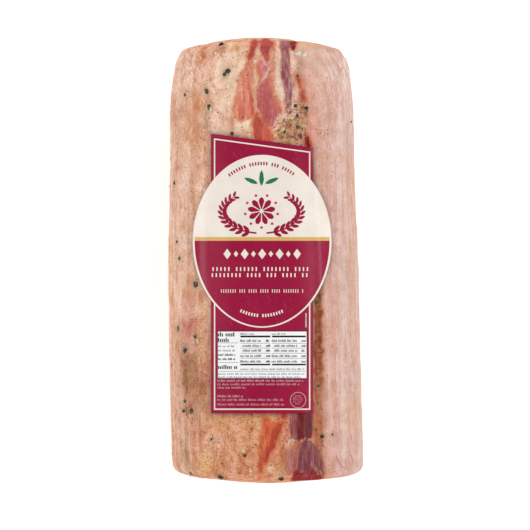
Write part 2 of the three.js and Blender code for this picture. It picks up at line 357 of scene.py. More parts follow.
# Lays patterns over a colour, one row after another: how drawn out, how turned, the noise's size, detail and
# roughness, its range, the field that weakens it, and either two tints to multiply with or one tone to cover.
def grained(tree, colour, rows):
    for along, turn, grain, reach, field, *tints in rows:
        share = noise(objectPlace(tree, along, turn), *grain).ranged(*reach)
        share = share * fieldOf(tree, field) if field else share
        colour = colour.tinted(share, *tints) if len(tints) == 2 else share.between(colour, tone(*tints[0]))
    return colour


def bumped(height, strength, distance):
    return height.through("ShaderNodeBump", {"Height": height, "Strength": strength, "Distance": distance})


def finished(material, colour, roughness, others):
    inputs = {"Base Color": colour, "Roughness": roughness} | others
    shader = addNode(material.node_tree, "ShaderNodeBsdfPrincipled", inputs).outputs[0]
    addNode(material.node_tree, "ShaderNodeOutputMaterial", {"Surface": shader})
    return material


# The camera looks straight down on the roll, with +Y up in the picture.
def makeCamera():
    camera = bpy.data.cameras.new("camera")
    camera.sensor_width = view["sensor"]
    camera.lens = view["sensor"] * (view["height"] - axisZ) / view["shown"]
    camera.clip_start, camera.clip_end = 0.1, 20
    holder = objectOf("camera", camera)
    holder.location = (view["x"] * mm, view["y"] * mm, view["height"] * mm)
    bpy.context.scene.camera = holder


light = {
    "skyTop": 0.45,  # round the camera, so that little glare lies on the middle
    "skyMiddle": 1.12,
    "skyLow": 0.55,
    "floorGlow": 0.4,
    "away": 1.4,  # metres from the roll to the lamps
    "aimHeight": 0.05,
    "stripLength": 1.5,
}
# Long softboxes that draw the glare down both flanks: side, degrees above the table, width in metres, watts.
strips = [(-1, 15, 0.22, 3.6), (1, 34.5, 0.17, 4.2)]


def makeStrip(name, side, above, width, power):
    lamp = bpy.data.lights.new(name, "AREA")
    lamp.shape = "RECTANGLE"
    lamp.size, lamp.size_y = width, light["stripLength"]
    lamp.energy = power
    holder = objectOf(name, lamp)
    x, z = light["away"] * math.cos(above * degree), light["away"] * math.sin(above * degree)
    holder.location = (side * x, 0, light["aimHeight"] + z)
    holder.rotation_euler = (0, side * (90 - above) * degree, 0)


def makeStudio():
    world = bpy.data.worlds.new("studio")
    world.use_nodes = True
    heading = Shade(addNode(world.node_tree, "ShaderNodeTexCoord").outputs["Object"])
    rise = heading.through("ShaderNodeSeparateXYZ", {0: heading}, "Z")
    sky = rise.ranged(0.1, 0.35, light["skyLow"], light["skyMiddle"])
    sky = sky * rise.ranged(0.66, 0.84, 1, light["skyTop"] / light["skyMiddle"])
    background = world.node_tree.nodes["Background"]
    background.inputs["Color"].default_value = (1, 1, 1, 1)
    world.node_tree.links.new(sky.socket, background.inputs["Strength"])
    bpy.context.scene.world = world
    bpy.context.scene.view_settings.view_transform = "Standard"
    for number, strip in enumerate(strips):
        makeStrip("strip%d" % number, *strip)


def makeFloor():
    material, tree = newMaterial("paleFloor")
    colour = noise(objectPlace(tree), 40).between((0.93, 0.93, 0.93, 1), (0.96, 0.96, 0.96, 1))
    finished(material, colour, 0.7, {"Emission Color": (1, 1, 1, 1), "Emission Strength": light["floorGlow"]})
    corners = [(-4000, -4000, -0.2), (4000, -4000, -0.2), (4000, 4000, -0.2), (-4000, 4000, -0.2)]
    floor = pieceOf("floor", meshOf("floor", corners, [[0, 1, 2, 3]]), material)


# Tones of the fat, then of the lean. The tone after ruddy is painted sheen of the film, laid as pale streaks.
tones = {
    "left": (251, 213, 189), "filmLitPink": (232, 188, 160), "right": (212, 166, 148), "low": (226, 159, 115),
    "cream": (248, 221, 192), "yellow": (224, 172, 110), "tan": (213, 147, 99), "stain": (209, 124, 44),
    "spice": (178, 118, 72), "olive": (172, 144, 98), "grey": (186, 158, 134), "blush": (226, 162, 146),
    "pale": (238, 206, 184), "rose": (226, 178, 168), "ruddy": (212, 128, 106), "filmSheen": (244, 220, 200),
    "seam": (162, 72, 38), "seamLow": (188, 110, 78),
    "orange": (206, 97, 80), "bright": (216, 104, 66), "salmon": (230, 136, 112), "red": (186, 66, 56),
    "brick": (186, 76, 68), "rosy": (206, 112, 107), "purple": (162, 82, 84), "violet": (128, 54, 62),
    "mauve": (176, 90, 84), "maroon": (110, 18, 27), "deep": (142, 10, 20),
}
tones = {name: np.array(tone(*channels)) for name, channels in tones.items()}
# How silvery a lean mark is.
silverOf = {"purple": 1, "violet": 0.5, "mauve": 0.5, "maroon": 0.1, "red": 0.12}
softOf = {"salmon": 1.1, "violet": 1.1, "mauve": 1.4, "maroon": 1.2, "bright": 0.7, "orange": 0.4}  # its edge
# The lean's bands as they are seen from above. Rows of a band are y, left edge and right edge.
leanBands = [
    ("brick", [(127, -8.4, -2.7), (121, -9.3, -3.3), (118, -10.4, -5), (114, -10.8, -7.1),
        (111, -10, -8.9)]),
    ("salmon", [(110, -9.9, -8.7), (107, -11.9, -7.4), (99, -14.1, -8.2), (91.6, -15.8, -7.4),
        (84, -16.7, -5.9), (80.4, -16, -6.5), (77.8, -13.2, -8.7)]),
    ("orange", [(82, -7.1, -4.8), (76.6, -7.4, 0.1), (72, -6.7, 3), (69, -5.2, 4.6), (58, -1, 9)]),
    ("brick", [(127, -3.7, 3.9), (118, -3.7, 4.6), (114.8, -1.5, 2.5), (112.8, -0.9, 0.8)]),
    ("rosy", [(113.4, -2.7, 3), (109, -5.2, 4.1), (105.6, -4.8, 4.1), (103.3, -2.6, 2.7), (101, -4.3, 3),
        (95.3, -5.9, 3.9), (91.6, -5.5, 5.4), (87, -4.8, 7.6), (82.6, -3.7, 9.5), (78, -1.5, 8.3),
        (74, 3.6, 5.3)]),
    ("purple", [(127, 6.9, 14.8), (118, 7.8, 14.8), (114, 8, 14.3), (106.6, 8.7, 13.7), (99, 9.1, 14),
        (95.3, 9.9, 15.9), (88, 11, 15.1), (84, 11.4, 14.3), (81, 12.5, 13.1)]),
    ("deep", [(127, 12.5, 19.3), (123.5, 12.9, 18.9), (121, 13.7, 18.1), (119, 14.8, 15.9)]),
    ("red", [(103.6, 16.8, 18.3), (101, 16.4, 19.3), (97.2, 17.4, 19.2)]),
    ("red", [(97.6, 19.6, 21.1), (94.4, 18.8, 22.5), (91, 18.6, 23), (88, 19.3, 22.2), (86.2, 20.2, 21)]),
    ("deep", [(71.5, 21.6, 23), (69, 21.2, 24.6), (64, 21.4, 25.2), (57, 22, 24)]),
    ("bright", [(-88.8, 0.8, 9.2), (-91.6, -2, 11.1), (-96, -3.1, 9.7), (-98.3, -3.3, 8.6),
        (-106.7, -3.7, 5.3), (-112.3, -3.9, 0.8), (-119, -4.6, -1.5), (-124, -5.1, -3.1)]),
    ("red", [(-80, 6.4, 13.1), (-87, 6.9, 12.5), (-88.8, 8.6, 10.9)]),
    ("maroon", [(-78, 16.6, 27.6), (-92, 16, 27.9), (-98, 16.2, 28), (-100.6, 17.6, 26)]),
    ("violet", [(-103, 19.4, 28.4), (-104.8, 18.2, 30), (-109, 17.2, 30.9), (-114.5, 16.5, 32),
        (-118.6, 15.7, 33)]),
    ("mauve", [(-104, 13.9, 17.4), (-107.4, 12.4, 19), (-111.7, 11.1, 19.4), (-117.3, 11.4, 19),
        (-119.2, 12.5, 18)]),
    ("purple", [(-84, 14.5, 18), (-91.6, 12.6, 18.8), (-96.6, 12.6, 18.8), (-99.6, 14.2, 18)]),
    ("deep", [(-116.8, 18.1, 31), (-118.8, 15, 33), (-123.5, 12.8, 32.8), (-127, 12.2, 30.4)]),
]
# Deeper cores that lie within a lean band.
leanCores = [
    ("red", [(-90, 6.2, 10.3), (-98.3, 2.6, 8), (-105.6, 0.6, 4.9), (-112.2, -1.4, 0.8)]),
    ("red", [(125, -6, -3.4), (118, -8.6, -6), (114, -9.6, -8.4)]),
    ("orange", [(100, -9.6, -8), (90, -9.4, -7), (82, -8.6, -6.4)]),
    ("brick", [(128, -3, 3.4), (117, -3, 3.8)]),
]
# Soft spots of the fat: tone, place seen, half width, half length and strength. Those in the tone after ruddy
# are painted sheen of the film over pale fat.
fatSpots = [
    ("tan", -32.5, 119.5, 8, 4, 0.35), ("stain", -35.2, 114.1, 3, 4.4, 1),
    ("stain", -37.7, 110.5, 1.5, 2.4, 0.6), ("blush", -25, 115.5, 6, 5, 0.5),
    ("yellow", -17.5, 118, 4.5, 5.5, 0.45), ("cream", -19, 104, 6.5, 12, 1),
    ("cream", -21.5, 91, 6, 7, 0.7), ("stain", -37.7, 93.1, 1.3, 2.4, 0.6), ("stain", -38.6, 87, 3, 7, 0.9),
    ("stain", -35, 83.5, 2.5, 4, 0.55), ("grey", -33.5, 78.5, 3, 5, 0.7), ("tan", -38.6, 68, 4.5, 8, 0.8),
    ("tan", -44, 76, 6, 16, 0.4), ("cream", -14, 76, 6, 3.5, 0.9), ("pale", -27, 74, 4, 5, 0.6),
    ("pale", -46, 103, 3, 12, 0.45), ("tan", -40, 46, 2.6, 20, 0.75), ("pale", -45, 44, 2.2, 14, 0.7),
    ("stain", -47.9, 32.5, 1.2, 2.2, 0.6), ("pale", -44.5, 8, 3, 12, 0.6), ("tan", -41, -16, 4, 8, 0.7),
    ("blush", -43.1, -24.4, 5, 5, 0.6), ("ruddy", -42.4, -37.4, 5, 7, 1), ("pale", -36, -47, 3.6, 6, 0.6),
    ("spice", -42.5, -56, 6, 9, 1), ("spice", -40.5, -69, 7, 8, 0.9), ("olive", -43.7, -63.7, 2.6, 5, 0.65),
    ("stain", -44, -82, 3.5, 5, 0.45), ("spice", -36, -80, 7, 8, 0.8), ("yellow", -23.3, -89.3, 5, 4, 0.6),
    ("yellow", -8, -89, 5, 4, 0.6), ("olive", -43.7, -108, 1.8, 9, 0.75),
    ("olive", -47.5, -113, 1.4, 6, 0.5), ("yellow", -34, -113, 7, 6, 0.75),
    ("blush", -18, -117.5, 5, 4, 0.6), ("blush", -26, -101, 5, 4, 0.4), ("stain", -28, -93, 7, 3.5, 0.2),
    ("cream", -24, -105, 6, 9, 0.35), ("filmSheen", 6.8, 103, 2.6, 12, 1), ("pale", 11, 91.5, 1.2, 2.4, 1),
    ("filmSheen", -5.9, 96, 1.7, 17, 1), ("cream", 3, -116, 6, 5, 0.5), ("rose", 19, -100.2, 7, 1.5, 0.9),
    ("pale", 22.3, -102.2, 1.9, 1.9, 1), ("blush", 11, -100, 3, 8, 0.6), ("yellow", 10, -116, 3.5, 5, 0.6),
    ("cream", 22, 119, 5, 4, 0.6), ("blush", 5.6, 91, 2.4, 6, 0.4), ("pale", 33, 104, 9, 12, 0.45),
    ("rose", 29, 86, 6, 15, 0.35), ("pale", 28, 60, 5, 12, 0.3), ("rose", 40, -105, 7, 10, 0.5),
    ("tan", -49.5, -101, 4, 20, 0.5), ("stain", -33, 91, 2.5, 6, 0.5), ("tan", 10, -97, 3.4, 10, 0.5),
    ("tan", 47.5, -92, 3, 14, 0.5), ("tan", 50.5, -86, 2.5, 16, 0.5), ("tan", 9, -110, 5, 8, 0.3),
    ("blush", 40.5, 50, 6, 34, 0.35), ("blush", 38, -55, 5, 12, 0.35), ("rose", 36, 101, 6, 8, 0.35),
    ("blush", 26, 74, 3, 10, 0.5), ("pale", 25, 108, 5, 7, 0.5),
]
# Lengthwise bands down the flanks: tone, strength and rows as above. The tan and stain ones are the fat's own
# tone; the pale and rose ones, and the pink one by the left fold, are painted sheen of the taut film.
fatBandsAndSheen = [
    ("pale", 0.22, [(78, 39.6, 43.2), (40, 39.5, 43), (8, 39.5, 42)]),
    ("pale", 0.36, [(-4, 40.6, 42.6), (-50, 41.4, 44.6), (-102, 42, 46)]),
    ("rose", 0.7, [(70, 35, 38.6), (20, 35.4, 38)]),
    ("pale", 0.3, [(-14, 32.4, 36.6), (-60, 32.6, 37.4), (-96, 32.8, 38)]),
    ("rose", 0.5, [(-10, 37.4, 39.6), (-60, 37.8, 40.6), (-96, 38.8, 41)]),
    ("tan", 0.35, [(60, 45.4, 50), (0, 46, 50), (-60, 47.4, 51.4)]),
    ("tan", 0.6, [(-16, -37, -30), (-30, -38.6, -30), (-48, -38.4, -30), (-62, -35.6, -30)]),
    ("tan", 0.55, [(72, -34.4, -30), (52, -34.8, -30), (40, -34, -30)]),
    ("filmLitPink", 0.75, [(-36, -53, -47.4), (-60, -53.4, -47), (-80, -52.8, -47.2)]),
    ("pale", 0.5, [(100, -52, -49), (40, -51.6, -48.6), (10, -51.6, -50)]),
    ("stain", 0.3, [(30, -43.4, -42), (0, -44, -42.4), (-26, -44, -42)]),
    ("rose", 0.5, [(-92, 46.8, 49.4), (-104, 48.4, 50.6), (-112, 49.6, 51.4)]),
]
# Thin pale tissue and orange membrane, as lines through the marks: half width and the places passed.
tissueLines = [
    (0.1, [(-2.9, 122), (-3.6, 118), (-6, 113.6)]),
    (0.5, [(-1.4, 114.4), (-0.2, 111.4), (1.8, 112.4), (2.4, 110.8)]),
    (0.7, [(-0.2, 111.6), (0.4, 108.6), (1.6, 106.4), (0.2, 103.8), (-1.6, 101.4)]),
    (0.4, [(3.4, 108.8), (1.2, 105.4)]),
    (0.05, [(-9.4, 108), (-12.4, 101), (-14.6, 96), (-15.9, 90)]),
    (0.15, [(-3.4, 99.4), (-5.6, 95), (-5.4, 88), (-3.6, 80)]),
    (0.35, [(17.6, 96), (16.4, 91.6), (15.9, 87), (16.8, 84.4), (20.4, 85.4)]),
    (0.9, [(5, 76), (8, 80), (11.6, 82), (13.2, 80), (15.4, 84)]),
    (-0.25, [(-3.6, -92), (-3.9, -104), (-4.8, -116), (-5.6, -122)]),
    (0.4, [(11.4, -104), (13.6, -101), (17, -98.6)]),
]
membraneLines = [
    (0.9, [(-9.3, 114), (-10, 110.3), (-14.1, 101.4), (-16.8, 91.6), (-17.4, 84), (-18.6, 76.6),
        (-18.8, 70)]),
    (0.9, [(-7.2, 112), (-7, 100), (-7.4, 90), (-4.6, 84), (-2.6, 79)]),
    (0.9, [(4.4, 124), (4.4, 109), (4, 96), (6.2, 91), (8.8, 84)]),
    (0.8, [(10.4, 89), (11, 84.6)]),
    (0.8, [(9, -90), (12.5, -97), (9, -106), (4, -112)]),
]
clumpRows = [
    (90, 16.6, 18.4), (87, 14.6, 22.5), (82.5, 12.4, 24.6), (78, 8.6, 24.6), (74, 6.2, 22.6),
    (69, 4.8, 20.6), (62, 6, 20.2),
]
seamStrip = [
    (-4, 27, 28.4), (-13.7, 26.4, 31.4), (-60, 26.6, 32.2), (-100, 26.9, 32.1), (-118, 27.4, 31.4),
    (-128, 28, 31),
]
hidden = {"streaks": 6, "angles": (100, 260), "halfWidth": (1.6, 5), "halfLength": (50, 130), "spots": 60}
# A painted shadow of the label on the fat along its edge: half width and strength.
labelShadow = {"halfWidth": 2.2, "strength": 0.34}  # the fat is darker along the label's edge


def bandDepth(p, q, rows):
    ends, left, right = np.array(sorted(rows)).T
    across = np.minimum(p - np.interp(q, ends, left), np.interp(q, ends, right) - p)
    beyond = np.maximum(ends[0] - q, q - ends[-1])
    return np.where(beyond > 0, np.minimum(across, -beyond), across)


def lineDepth(p, q, halfWidth, places):
    nearest = np.full(p.shape, 1e9)
    for (ax, ay), (bx, by) in zip(places, places[1:]):
        run = np.hypot(bx - ax, by - ay)
        along = np.clip(((p - ax) * (bx - ax) + (q - ay) * (by - ay)) / run**2, 0, 1)
        nearest = np.minimum(nearest, np.hypot(p - ax - along * (bx - ax), q - ay - along * (by - ay)))
    return halfWidth - nearest


def spotShare(p, q, centre, middle, halfWidth, halfLength):
    return np.exp(-(((p - centre) / halfWidth) ** 2) - ((q - middle) / halfLength) ** 2)


# Blends a colour towards one tone after another, by a share for each point.
def layered(colour, layers):
    for name, share in layers:
        target = tones[name] if isinstance(name, str) else name
        colour = colour + (target - colour) * np.clip(share, 0, 1)[:, None]
    return colour


# Where each point of the meat is, and its shares in the regions there. "front" is the side that is seen, and
# the waved places give the marks a natural outline.
def meatPlaces(points, angle, y, share, cap):
    p, q = seenPlace(points)
    at = SimpleNamespace(angle=angle, y=y, share=share, cap=cap, x=points[:, 0], z=points[:, 2], p=p, q=q)
    at.front = smooth(np.cos(angle), -0.06, 0.1) * mixed(1, smooth(at.z, 54, 68), smooth(cap, 0.75, 0.99))
    at.around = arcFrom(0, angle)
    at.wavedP = p + ripple(p, q, 3, 9, 0.4)
    at.wavedQ = q + ripple(p, q, 4, 7, 1.3)
    at.offSeam = turnFrom(seamAngle(y), angle) * roll["halfHeight"]
    at.flank = smooth(np.abs(np.sin(angle)), 0.5, 0.8) * (1 - cap)
    at.rightOf = smooth(at.offSeam, -1, 3) * (1 - smooth(np.abs(turnFrom(math.pi, angle)), 1.7, 0.3))
    at.leftOf = 1 - at.rightOf
    at.lowShare = smooth(-q, 30, 95) * smooth(at.wavedP, -50, -36) * at.leftOf
    at.layer = layerPlace(angle, share, y)
    # Painted shade on the rims of the ends, where the end curves away.
    at.onRim = (at.front * smooth(cap, 0.2, 0.9))[:, None]
    at.overRim = at.front * smooth(at.z, 60, 84)
    return at


# The fat's broad tints, then its spots and bands as seen. "calm" is where it is too pale for blotches.
def fatAsSeen(at):
    wide = at.flank * smooth(ripple(at.around * 2.6, at.y * 0.25, 11, 9, 1), 0.2, 1.6)
    sheenBands = smooth(ripple(at.around * 3.2, at.y * 0.3, 9, 9, 1), 0.1, 1.4)
    clouds = smooth(ripple(at.around, at.y, 12, 30, 1), 0.4, 1.8)
    fat = layered(np.tile(tones["left"], (len(at.p), 1)), [
        ("right", at.rightOf),
        ("low", 0.85 * at.lowShare * at.front),
        ("tan", 0.4 * wide * at.leftOf),
        ("rose", 0.4 * wide * at.rightOf),
        # Pale narrow bands down the flanks: painted sheen of the film.
        ("pale", 0.35 * at.flank * sheenBands),
        ("blush", 0.35 * clouds * (1 - 0.6 * at.rightOf)),
    ])
    calm = 0 * at.p
    for name, centre, middle, halfWidth, halfLength, strength in fatSpots:
        near = strength * at.front * spotShare(at.wavedP, at.wavedQ, centre, middle, halfWidth, halfLength)
        fat = layered(fat, [(name, near)])
        calm = np.maximum(calm, near * (name in ("cream", "filmSheen", "pale")))
    for name, strength, rows in fatBandsAndSheen:
        inBand = smooth(bandDepth(at.p + 0.3 * (at.wavedP - at.p), at.q, rows), -0.2, 0.35)
        fat = layered(fat, [(name, strength * at.front * inBand)])
    return fat, calm


def hiddenSpots(at, fat, draws):
    for _ in range(hidden["spots"]):
        name = draws.choice(["tan", "stain", "blush", "cream", "pale", "yellow", "spice"])
        centre = draws.uniform(*hidden["angles"]) * degree
        middle, halfWidth, halfLength = draws.uniform(-115, 115), draws.uniform(2, 6), draws.uniform(4, 16)
        across = arcFrom(centre, at.angle)
        near = spotShare(across + ripple(across, at.y, 5, 9, 0.6), at.y, 0, middle, halfWidth, halfLength)
        fat = layered(fat, [(name, 0.6 * (1 - at.front) * (1 - at.cap) * near)])
    return fat


# Every mark of lean as its depth at each point, tone, silver and softness: the bands as seen, streaks along
# the hidden side, and the spiral's layers on the ends.
def leanMarks(at, draws):
    marks = []
    overEdge = smooth(at.cap, 0.5, 0.95) * (1 - smooth(at.z, 50, 80))
    for name, rows in leanBands:
        depth = np.where(at.front > 0.02, bandDepth(at.wavedP, at.wavedQ, rows), -20)
        depth = depth - 14 * (1 - at.front) - 9 * overEdge
        marks.append((depth, name, silverOf.get(name, 0), softOf.get(name, 0.2)))
    for number in range(hidden["streaks"]):
        centre = mixed(*hidden["angles"], (number + draws.uniform(0.1, 0.9)) / hidden["streaks"]) * degree
        middle, halfLength = draws.uniform(-60, 60), draws.uniform(*hidden["halfLength"])
        widest = draws.uniform(*hidden["halfWidth"])
        across = arcFrom(centre, at.angle) + ripple(at.y, at.y * 0, 30 + number, 70, 3)
        taper = 1.1 - 1.4 * smooth(np.abs(at.y - middle), 0.5 * halfLength, halfLength)
        taper = taper + ripple(at.y, at.y * 0, 40 + number, 30, 0.3)
        depth = widest * taper - np.abs(across) + ripple(at.y, across, 50 + number, 12, 0.5)
        marks.append((np.maximum(depth, -20) - 14 * at.cap, ["rosy", "brick"][number % 2], 0.15, 0.3))
    bent = at.layer + ripple(at.x, at.z, 6, 24, 0.035)
    swing = 0.05 * np.sin(3 * at.angle + 9 * at.share)
    onEnd = -20 * (1 - smooth(at.cap, 0.5, 0.99)) - 30 * smooth(at.share, 0.84, 0.95) - 14 * at.overRim
    for name, low, high in [("red", 0.36, 0.6), ("rosy", 0.76, 0.95)]:
        depth = np.minimum(bent - low - swing, high - bent + swing) * layerThickness + onEnd
        marks.append((depth, name, 0, 0.3))
    return marks


# The deepest marks win, with soft borders between them.
def leanColour(at, marks):
    depths, names, silver, soft = (np.array(column) for column in zip(*marks))
    weights = np.exp(np.clip(depths, -8, 2.5) / 0.7)
    weights = weights / weights.sum(0)
    lean = np.einsum("bn,bc->nc", weights, np.array([tones[name] for name in names]))
    for name, rows in leanCores:
        inCore = smooth(bandDepth(at.wavedP, at.wavedQ, rows), -0.9, 0.9)
        lean = layered(lean, [(name, 0.85 * inCore * at.front)])
    # Painted shade: the lean is darker on the rims.
    lean = lean * (1 - at.onRim * np.array([0.04, 0.12, 0.08, 0]))
    return lean, depths.max(0), *((weights * values[:, None]).sum(0) for values in (silver, soft))


# How much a point belongs to the strip of spice along the seam.
def seamShare(at):
    unevenP = at.wavedP + ripple(at.p, at.q, 61, 5, 0.5)
    strip = smooth(bandDepth(unevenP, at.q, seamStrip), -1.4, 1.3) * at.front
    upperSeam = smooth(at.y, 56, 66) * (1 - smooth(at.y, 100, 110))
    return np.maximum(strip, 0.45 * hump(at.offSeam + 0.4, 2.6) * upperSeam * (1 - at.cap))


# Lays membrane, the seam and the glow beside it, the ends' grooves and a stain round each corn over the fat.
def withSeam(at, fat, onSeam):
    for halfWidth, places in membraneLines:
        near = np.clip(1 + lineDepth(at.p, at.q, 0, places) / (2 * halfWidth), 0, 1)
        fat = layered(fat, [("orange", 0.5 * near * at.front)])
    seamTone = mixed(tones["seamLow"], tones["seam"], smooth(at.q, -82, -55)[:, None])
    seamTone = layered(seamTone, [("tan", 0.6 * smooth(at.p, 29, 32.6) + 0.3 * ripple(at.p, at.q, 62, 4, 1))])
    beside = hump(at.offSeam - 2, 8) * smooth(-at.q, -30, 10) * at.front
    halo = smooth(at.y, 50, 66) * (1 - smooth(at.y, 96, 108))
    halo = halo * np.exp(-np.maximum(at.offSeam, 0) / 6) * (at.offSeam > -1)
    groove = hump(np.minimum(at.layer, 1 - at.layer) * layerThickness, 1.6)
    onGroove = smooth(at.cap, 0.9, 1) * groove * (1 - smooth(at.share, 0.8, 0.95)) * (1 - at.overRim)
    fat = layered(fat, [
        (seamTone, 1.05 * onSeam),
        ("blush", 0.4 * beside * (1 - onSeam)),
        ("salmon", 0.72 * halo),
        (mixed(tones["cream"], tones["right"], 0.5), 0.75 * smooth(at.cap, 0.6, 1) * (1 - at.overRim)),
        ("spice", 0.8 * onGroove),
    ])
    for cornAngle, cornY, radius in cornPlaces:
        apart = np.hypot(arcFrom(cornAngle, at.angle), at.y - cornY)
        fat = layered(fat, [("olive", 0.5 * hump(apart, 1.5 * radius + 0.6))])
    return fat


# Paints shade into the fat: darker flanks and rims, and a painted shadow of the label along its edge.
def withShade(at, fat):
    # Painted shade on the flanks: darker on the left, tinted on the right.
    flankShade = np.where(np.cos(at.angle) > 0, smooth(np.abs(np.sin(at.angle)), 0.55, 0.95), 1) * (1 - at.cap)
    shadeLeft, shadeRight = np.array([[0.2, 0.235, 0.255, 0]]), np.array([[0.08, -0.1, -0.26, 0]])
    flankShadeTint = mixed(shadeLeft, shadeRight, at.rightOf[:, None])
    fat = fat * (1 - at.onRim * np.array([0.04, 0.12, 0.18, 0])) * (1 - flankShade[:, None] * flankShadeTint)
    # Painted shadow of the label on the fat beside it.
    shadowNearLabel = hump(np.maximum(labelMargin(at.p, at.q), 0), labelShadow["halfWidth"])
    return fat * (1 - at.front * labelShadow["strength"] * shadowNearLabel)[:, None]


# What the material reads at each point: both colours, the depth in lean, and how much of everything else.
def meatFields(points, *facts):
    at = meatPlaces(points, *facts)
    draws = np.random.default_rng(21)
    fat, calm = fatAsSeen(at)
    fat = hiddenSpots(at, fat, draws)
    lean, depth, silver, soft = leanColour(at, leanMarks(at, draws))
    onSeam = seamShare(at)
    fat = withShade(at, withSeam(at, fat, onSeam))
    tissue = [lineDepth(at.wavedP, at.wavedQ, halfWidth, places) for halfWidth, places in tissueLines]
    crusted = spotShare(at.p, at.q, -41, -62, 8, 27) * smooth(at.p, -48.5, -46) * at.front
    spice = 0.46 + 0.34 * at.lowShare * at.front + 0.8 * onSeam + 0.2 * (1 - at.front)
    mottle = np.clip(mixed(0.7, 0.16, at.rightOf) + 0.3 * at.lowShare + 0.4 * crusted, 0, 1)
    # Lengthwise streaks in the fat, stronger on the flanks, where they are partly painted sheen of the film.
    streakAndSheen = np.clip(0.25 + 0.45 * at.flank + 0.2 * at.rightOf - 0.15 * at.lowShare, 0, 1)
    calmer = (1 - 0.75 * at.front * at.leftOf * smooth(at.q, 56, 84)) * (1 - 0.85 * crusted)
    # Where painted reflections of crinkled film lie: slanting pale and dark lines at the two upper corners.
    slant = spotShare(at.p, at.q, -43, 111, 9, 15) + spotShare(at.p, at.q, 42, 106, 9, 18)
    return {
        "fatTint": fat,
        "leanTint": lean,
        "leanDepth": depth,
        "tissue": np.where(at.front > 0.5, np.maximum(np.max(tissue, 0), -9), -9),
        "spice": spice - 0.22 * at.rightOf * at.front + 0.6 * crusted,
        "clump": np.where(at.front > 0.5, bandDepth(at.wavedP, at.wavedQ, clumpRows), -9),
        "mottle": mottle * (1 - 0.75 * calm) * (1 - 0.8 * onSeam),
        "streakAndSheen": streakAndSheen * (1 - 0.7 * at.cap) * calmer * (1 - np.minimum(onSeam, 1)),
        "slant": slant * at.front,
        "silver": silver,
        "soft": soft,
    }


# "rows" are those of an end's face, of its corner and of the side.
meat = {"columnsSeen": 250, "columnsHidden": 84, "rows": (28, 9, 178), "inset": 0.35}
unchanged = (1, 1, 1)
leanGrain = [
    (0.12, 0, (0.6, 4), (0.36, 0.64), None, (0.92, 0.86, 0.88), (1.06, 1.13, 1.12)),
    (0.3, 0, (5, 3), (0.36, 0.64), None, (0.84, 0.74, 0.77), (1.1, 1.22, 1.2)),
]
leanFlecks = [
    (0.3, 0, (3.2, 4), (0.5, 0.62), None, (0.98, 0.92, 0.92), (1.12, 1.4, 1.4)),
    (0.12, 0, (0.9, 5, 0.7), (0.54, 0.7), None, unchanged, (1.1, 1.4, 1.45)),
    (0.3, 0, (2.2, 5, 0.65), (0.57, 0.7), None, unchanged, (1.12, 1.5, 1.6)),
    (0.12, 0, (1.3, 4, 0.6), (0.47, 0.6, 0, 0.55), "silver", (190, 158, 156)),
]
fatGrain = [
    (1, 0, (0.9, 6, 0.7), (0.36, 0.64), None, (0.93, 0.87, 0.85), (1.05, 1.08, 1.09)),
    (1, 0, (6, 4), (0.36, 0.64), None, (0.93, 0.87, 0.82), (1.05, 1.1, 1.13)),
    (0.4, 0, (6, 8, 0.7), (0.49, 0.62, 0, 0.8), "mottle", unchanged, (0.74, 0.44, 0.28)),
    (0.4, 0, (6, 8, 0.7), (0.36, 0.47, 0.9, 0), "mottle", unchanged, (1.06, 1.14, 1.22)),
    (0.6, 0, (3.4, 6, 0.68), (0.53, 0.63, 0, 0.55), "mottle", unchanged, (0.68, 0.38, 0.22)),
    (0.4, 0, (7, 6, 0.62), (0.53, 0.66, 0, 0.6), "mottle", unchanged, (0.84, 0.5, 0.47)),
]
fatFreckles = [(1, 0, (1.6, 6, 0.75), (0.38, 0.6), None, (0.86, 0.74, 0.63), (1.07, 1.13, 1.16))]
# Lengthwise streaks: darker and paler ones in the fat, the paler ones partly painted sheen of the film.
fatStreaksAndSheen = [
    (0.09, 0, (3, 3, 0.5), (0.38, 0.5, 0.27, 0), "streakAndSheen", (205, 150, 132)),
    (0.09, 0, (3, 3, 0.5), (0.53, 0.62, 0, 0.4), "streakAndSheen", (230, 198, 182)),
    (0.05, 0, (0.8, 3), (0.54, 0.66, 0, 0.17), "streakAndSheen", (232, 202, 186)),
    # Painted reflections of crinkled film: slanting pale lines and darker gaps.
    (0.05, -32, (1.3, 3, 0.6), (0.53, 0.62, 0, 0.8), "slant", (244, 220, 206)),
    (0.05, -32, (1.3, 3, 0.6), (0.38, 0.47, 0.6, 0), "slant", (206, 140, 118)),
]
crustCrumbs = [
    (1, 0, (1.9, 4, 0.65), (0.54, 0.66, 0, 0.6), None, (218, 176, 144)),
    (1, 0, (2.2, 3), (0.56, 0.66, 0, 0.6), None, (190, 150, 80)),
    (1, 0, (1.9, 4, 0.65), (0.37, 0.45, 0.85, 0), None, (88, 56, 42)),
]


# Thin bright lines between warped cells, for torn membrane.
def laceOf(place, size, width):
    warp = noise(place, size / 0.8, 3.0, 0.5, "Color")
    warp = warp.through("ShaderNodeVectorMath", {0: warp, "Scale": 1.6 * size}, operation="SCALE")
    bent = warp.through("ShaderNodeVectorMath", {0: place, 1: warp}, operation="ADD")
    inputs = {"Vector": bent, "Scale": 1 / size}
    cells = bent.through("ShaderNodeTexVoronoi", inputs, "Distance", feature="DISTANCE_TO_EDGE")
    return cells.ranged(0, width / size, 1, 0)


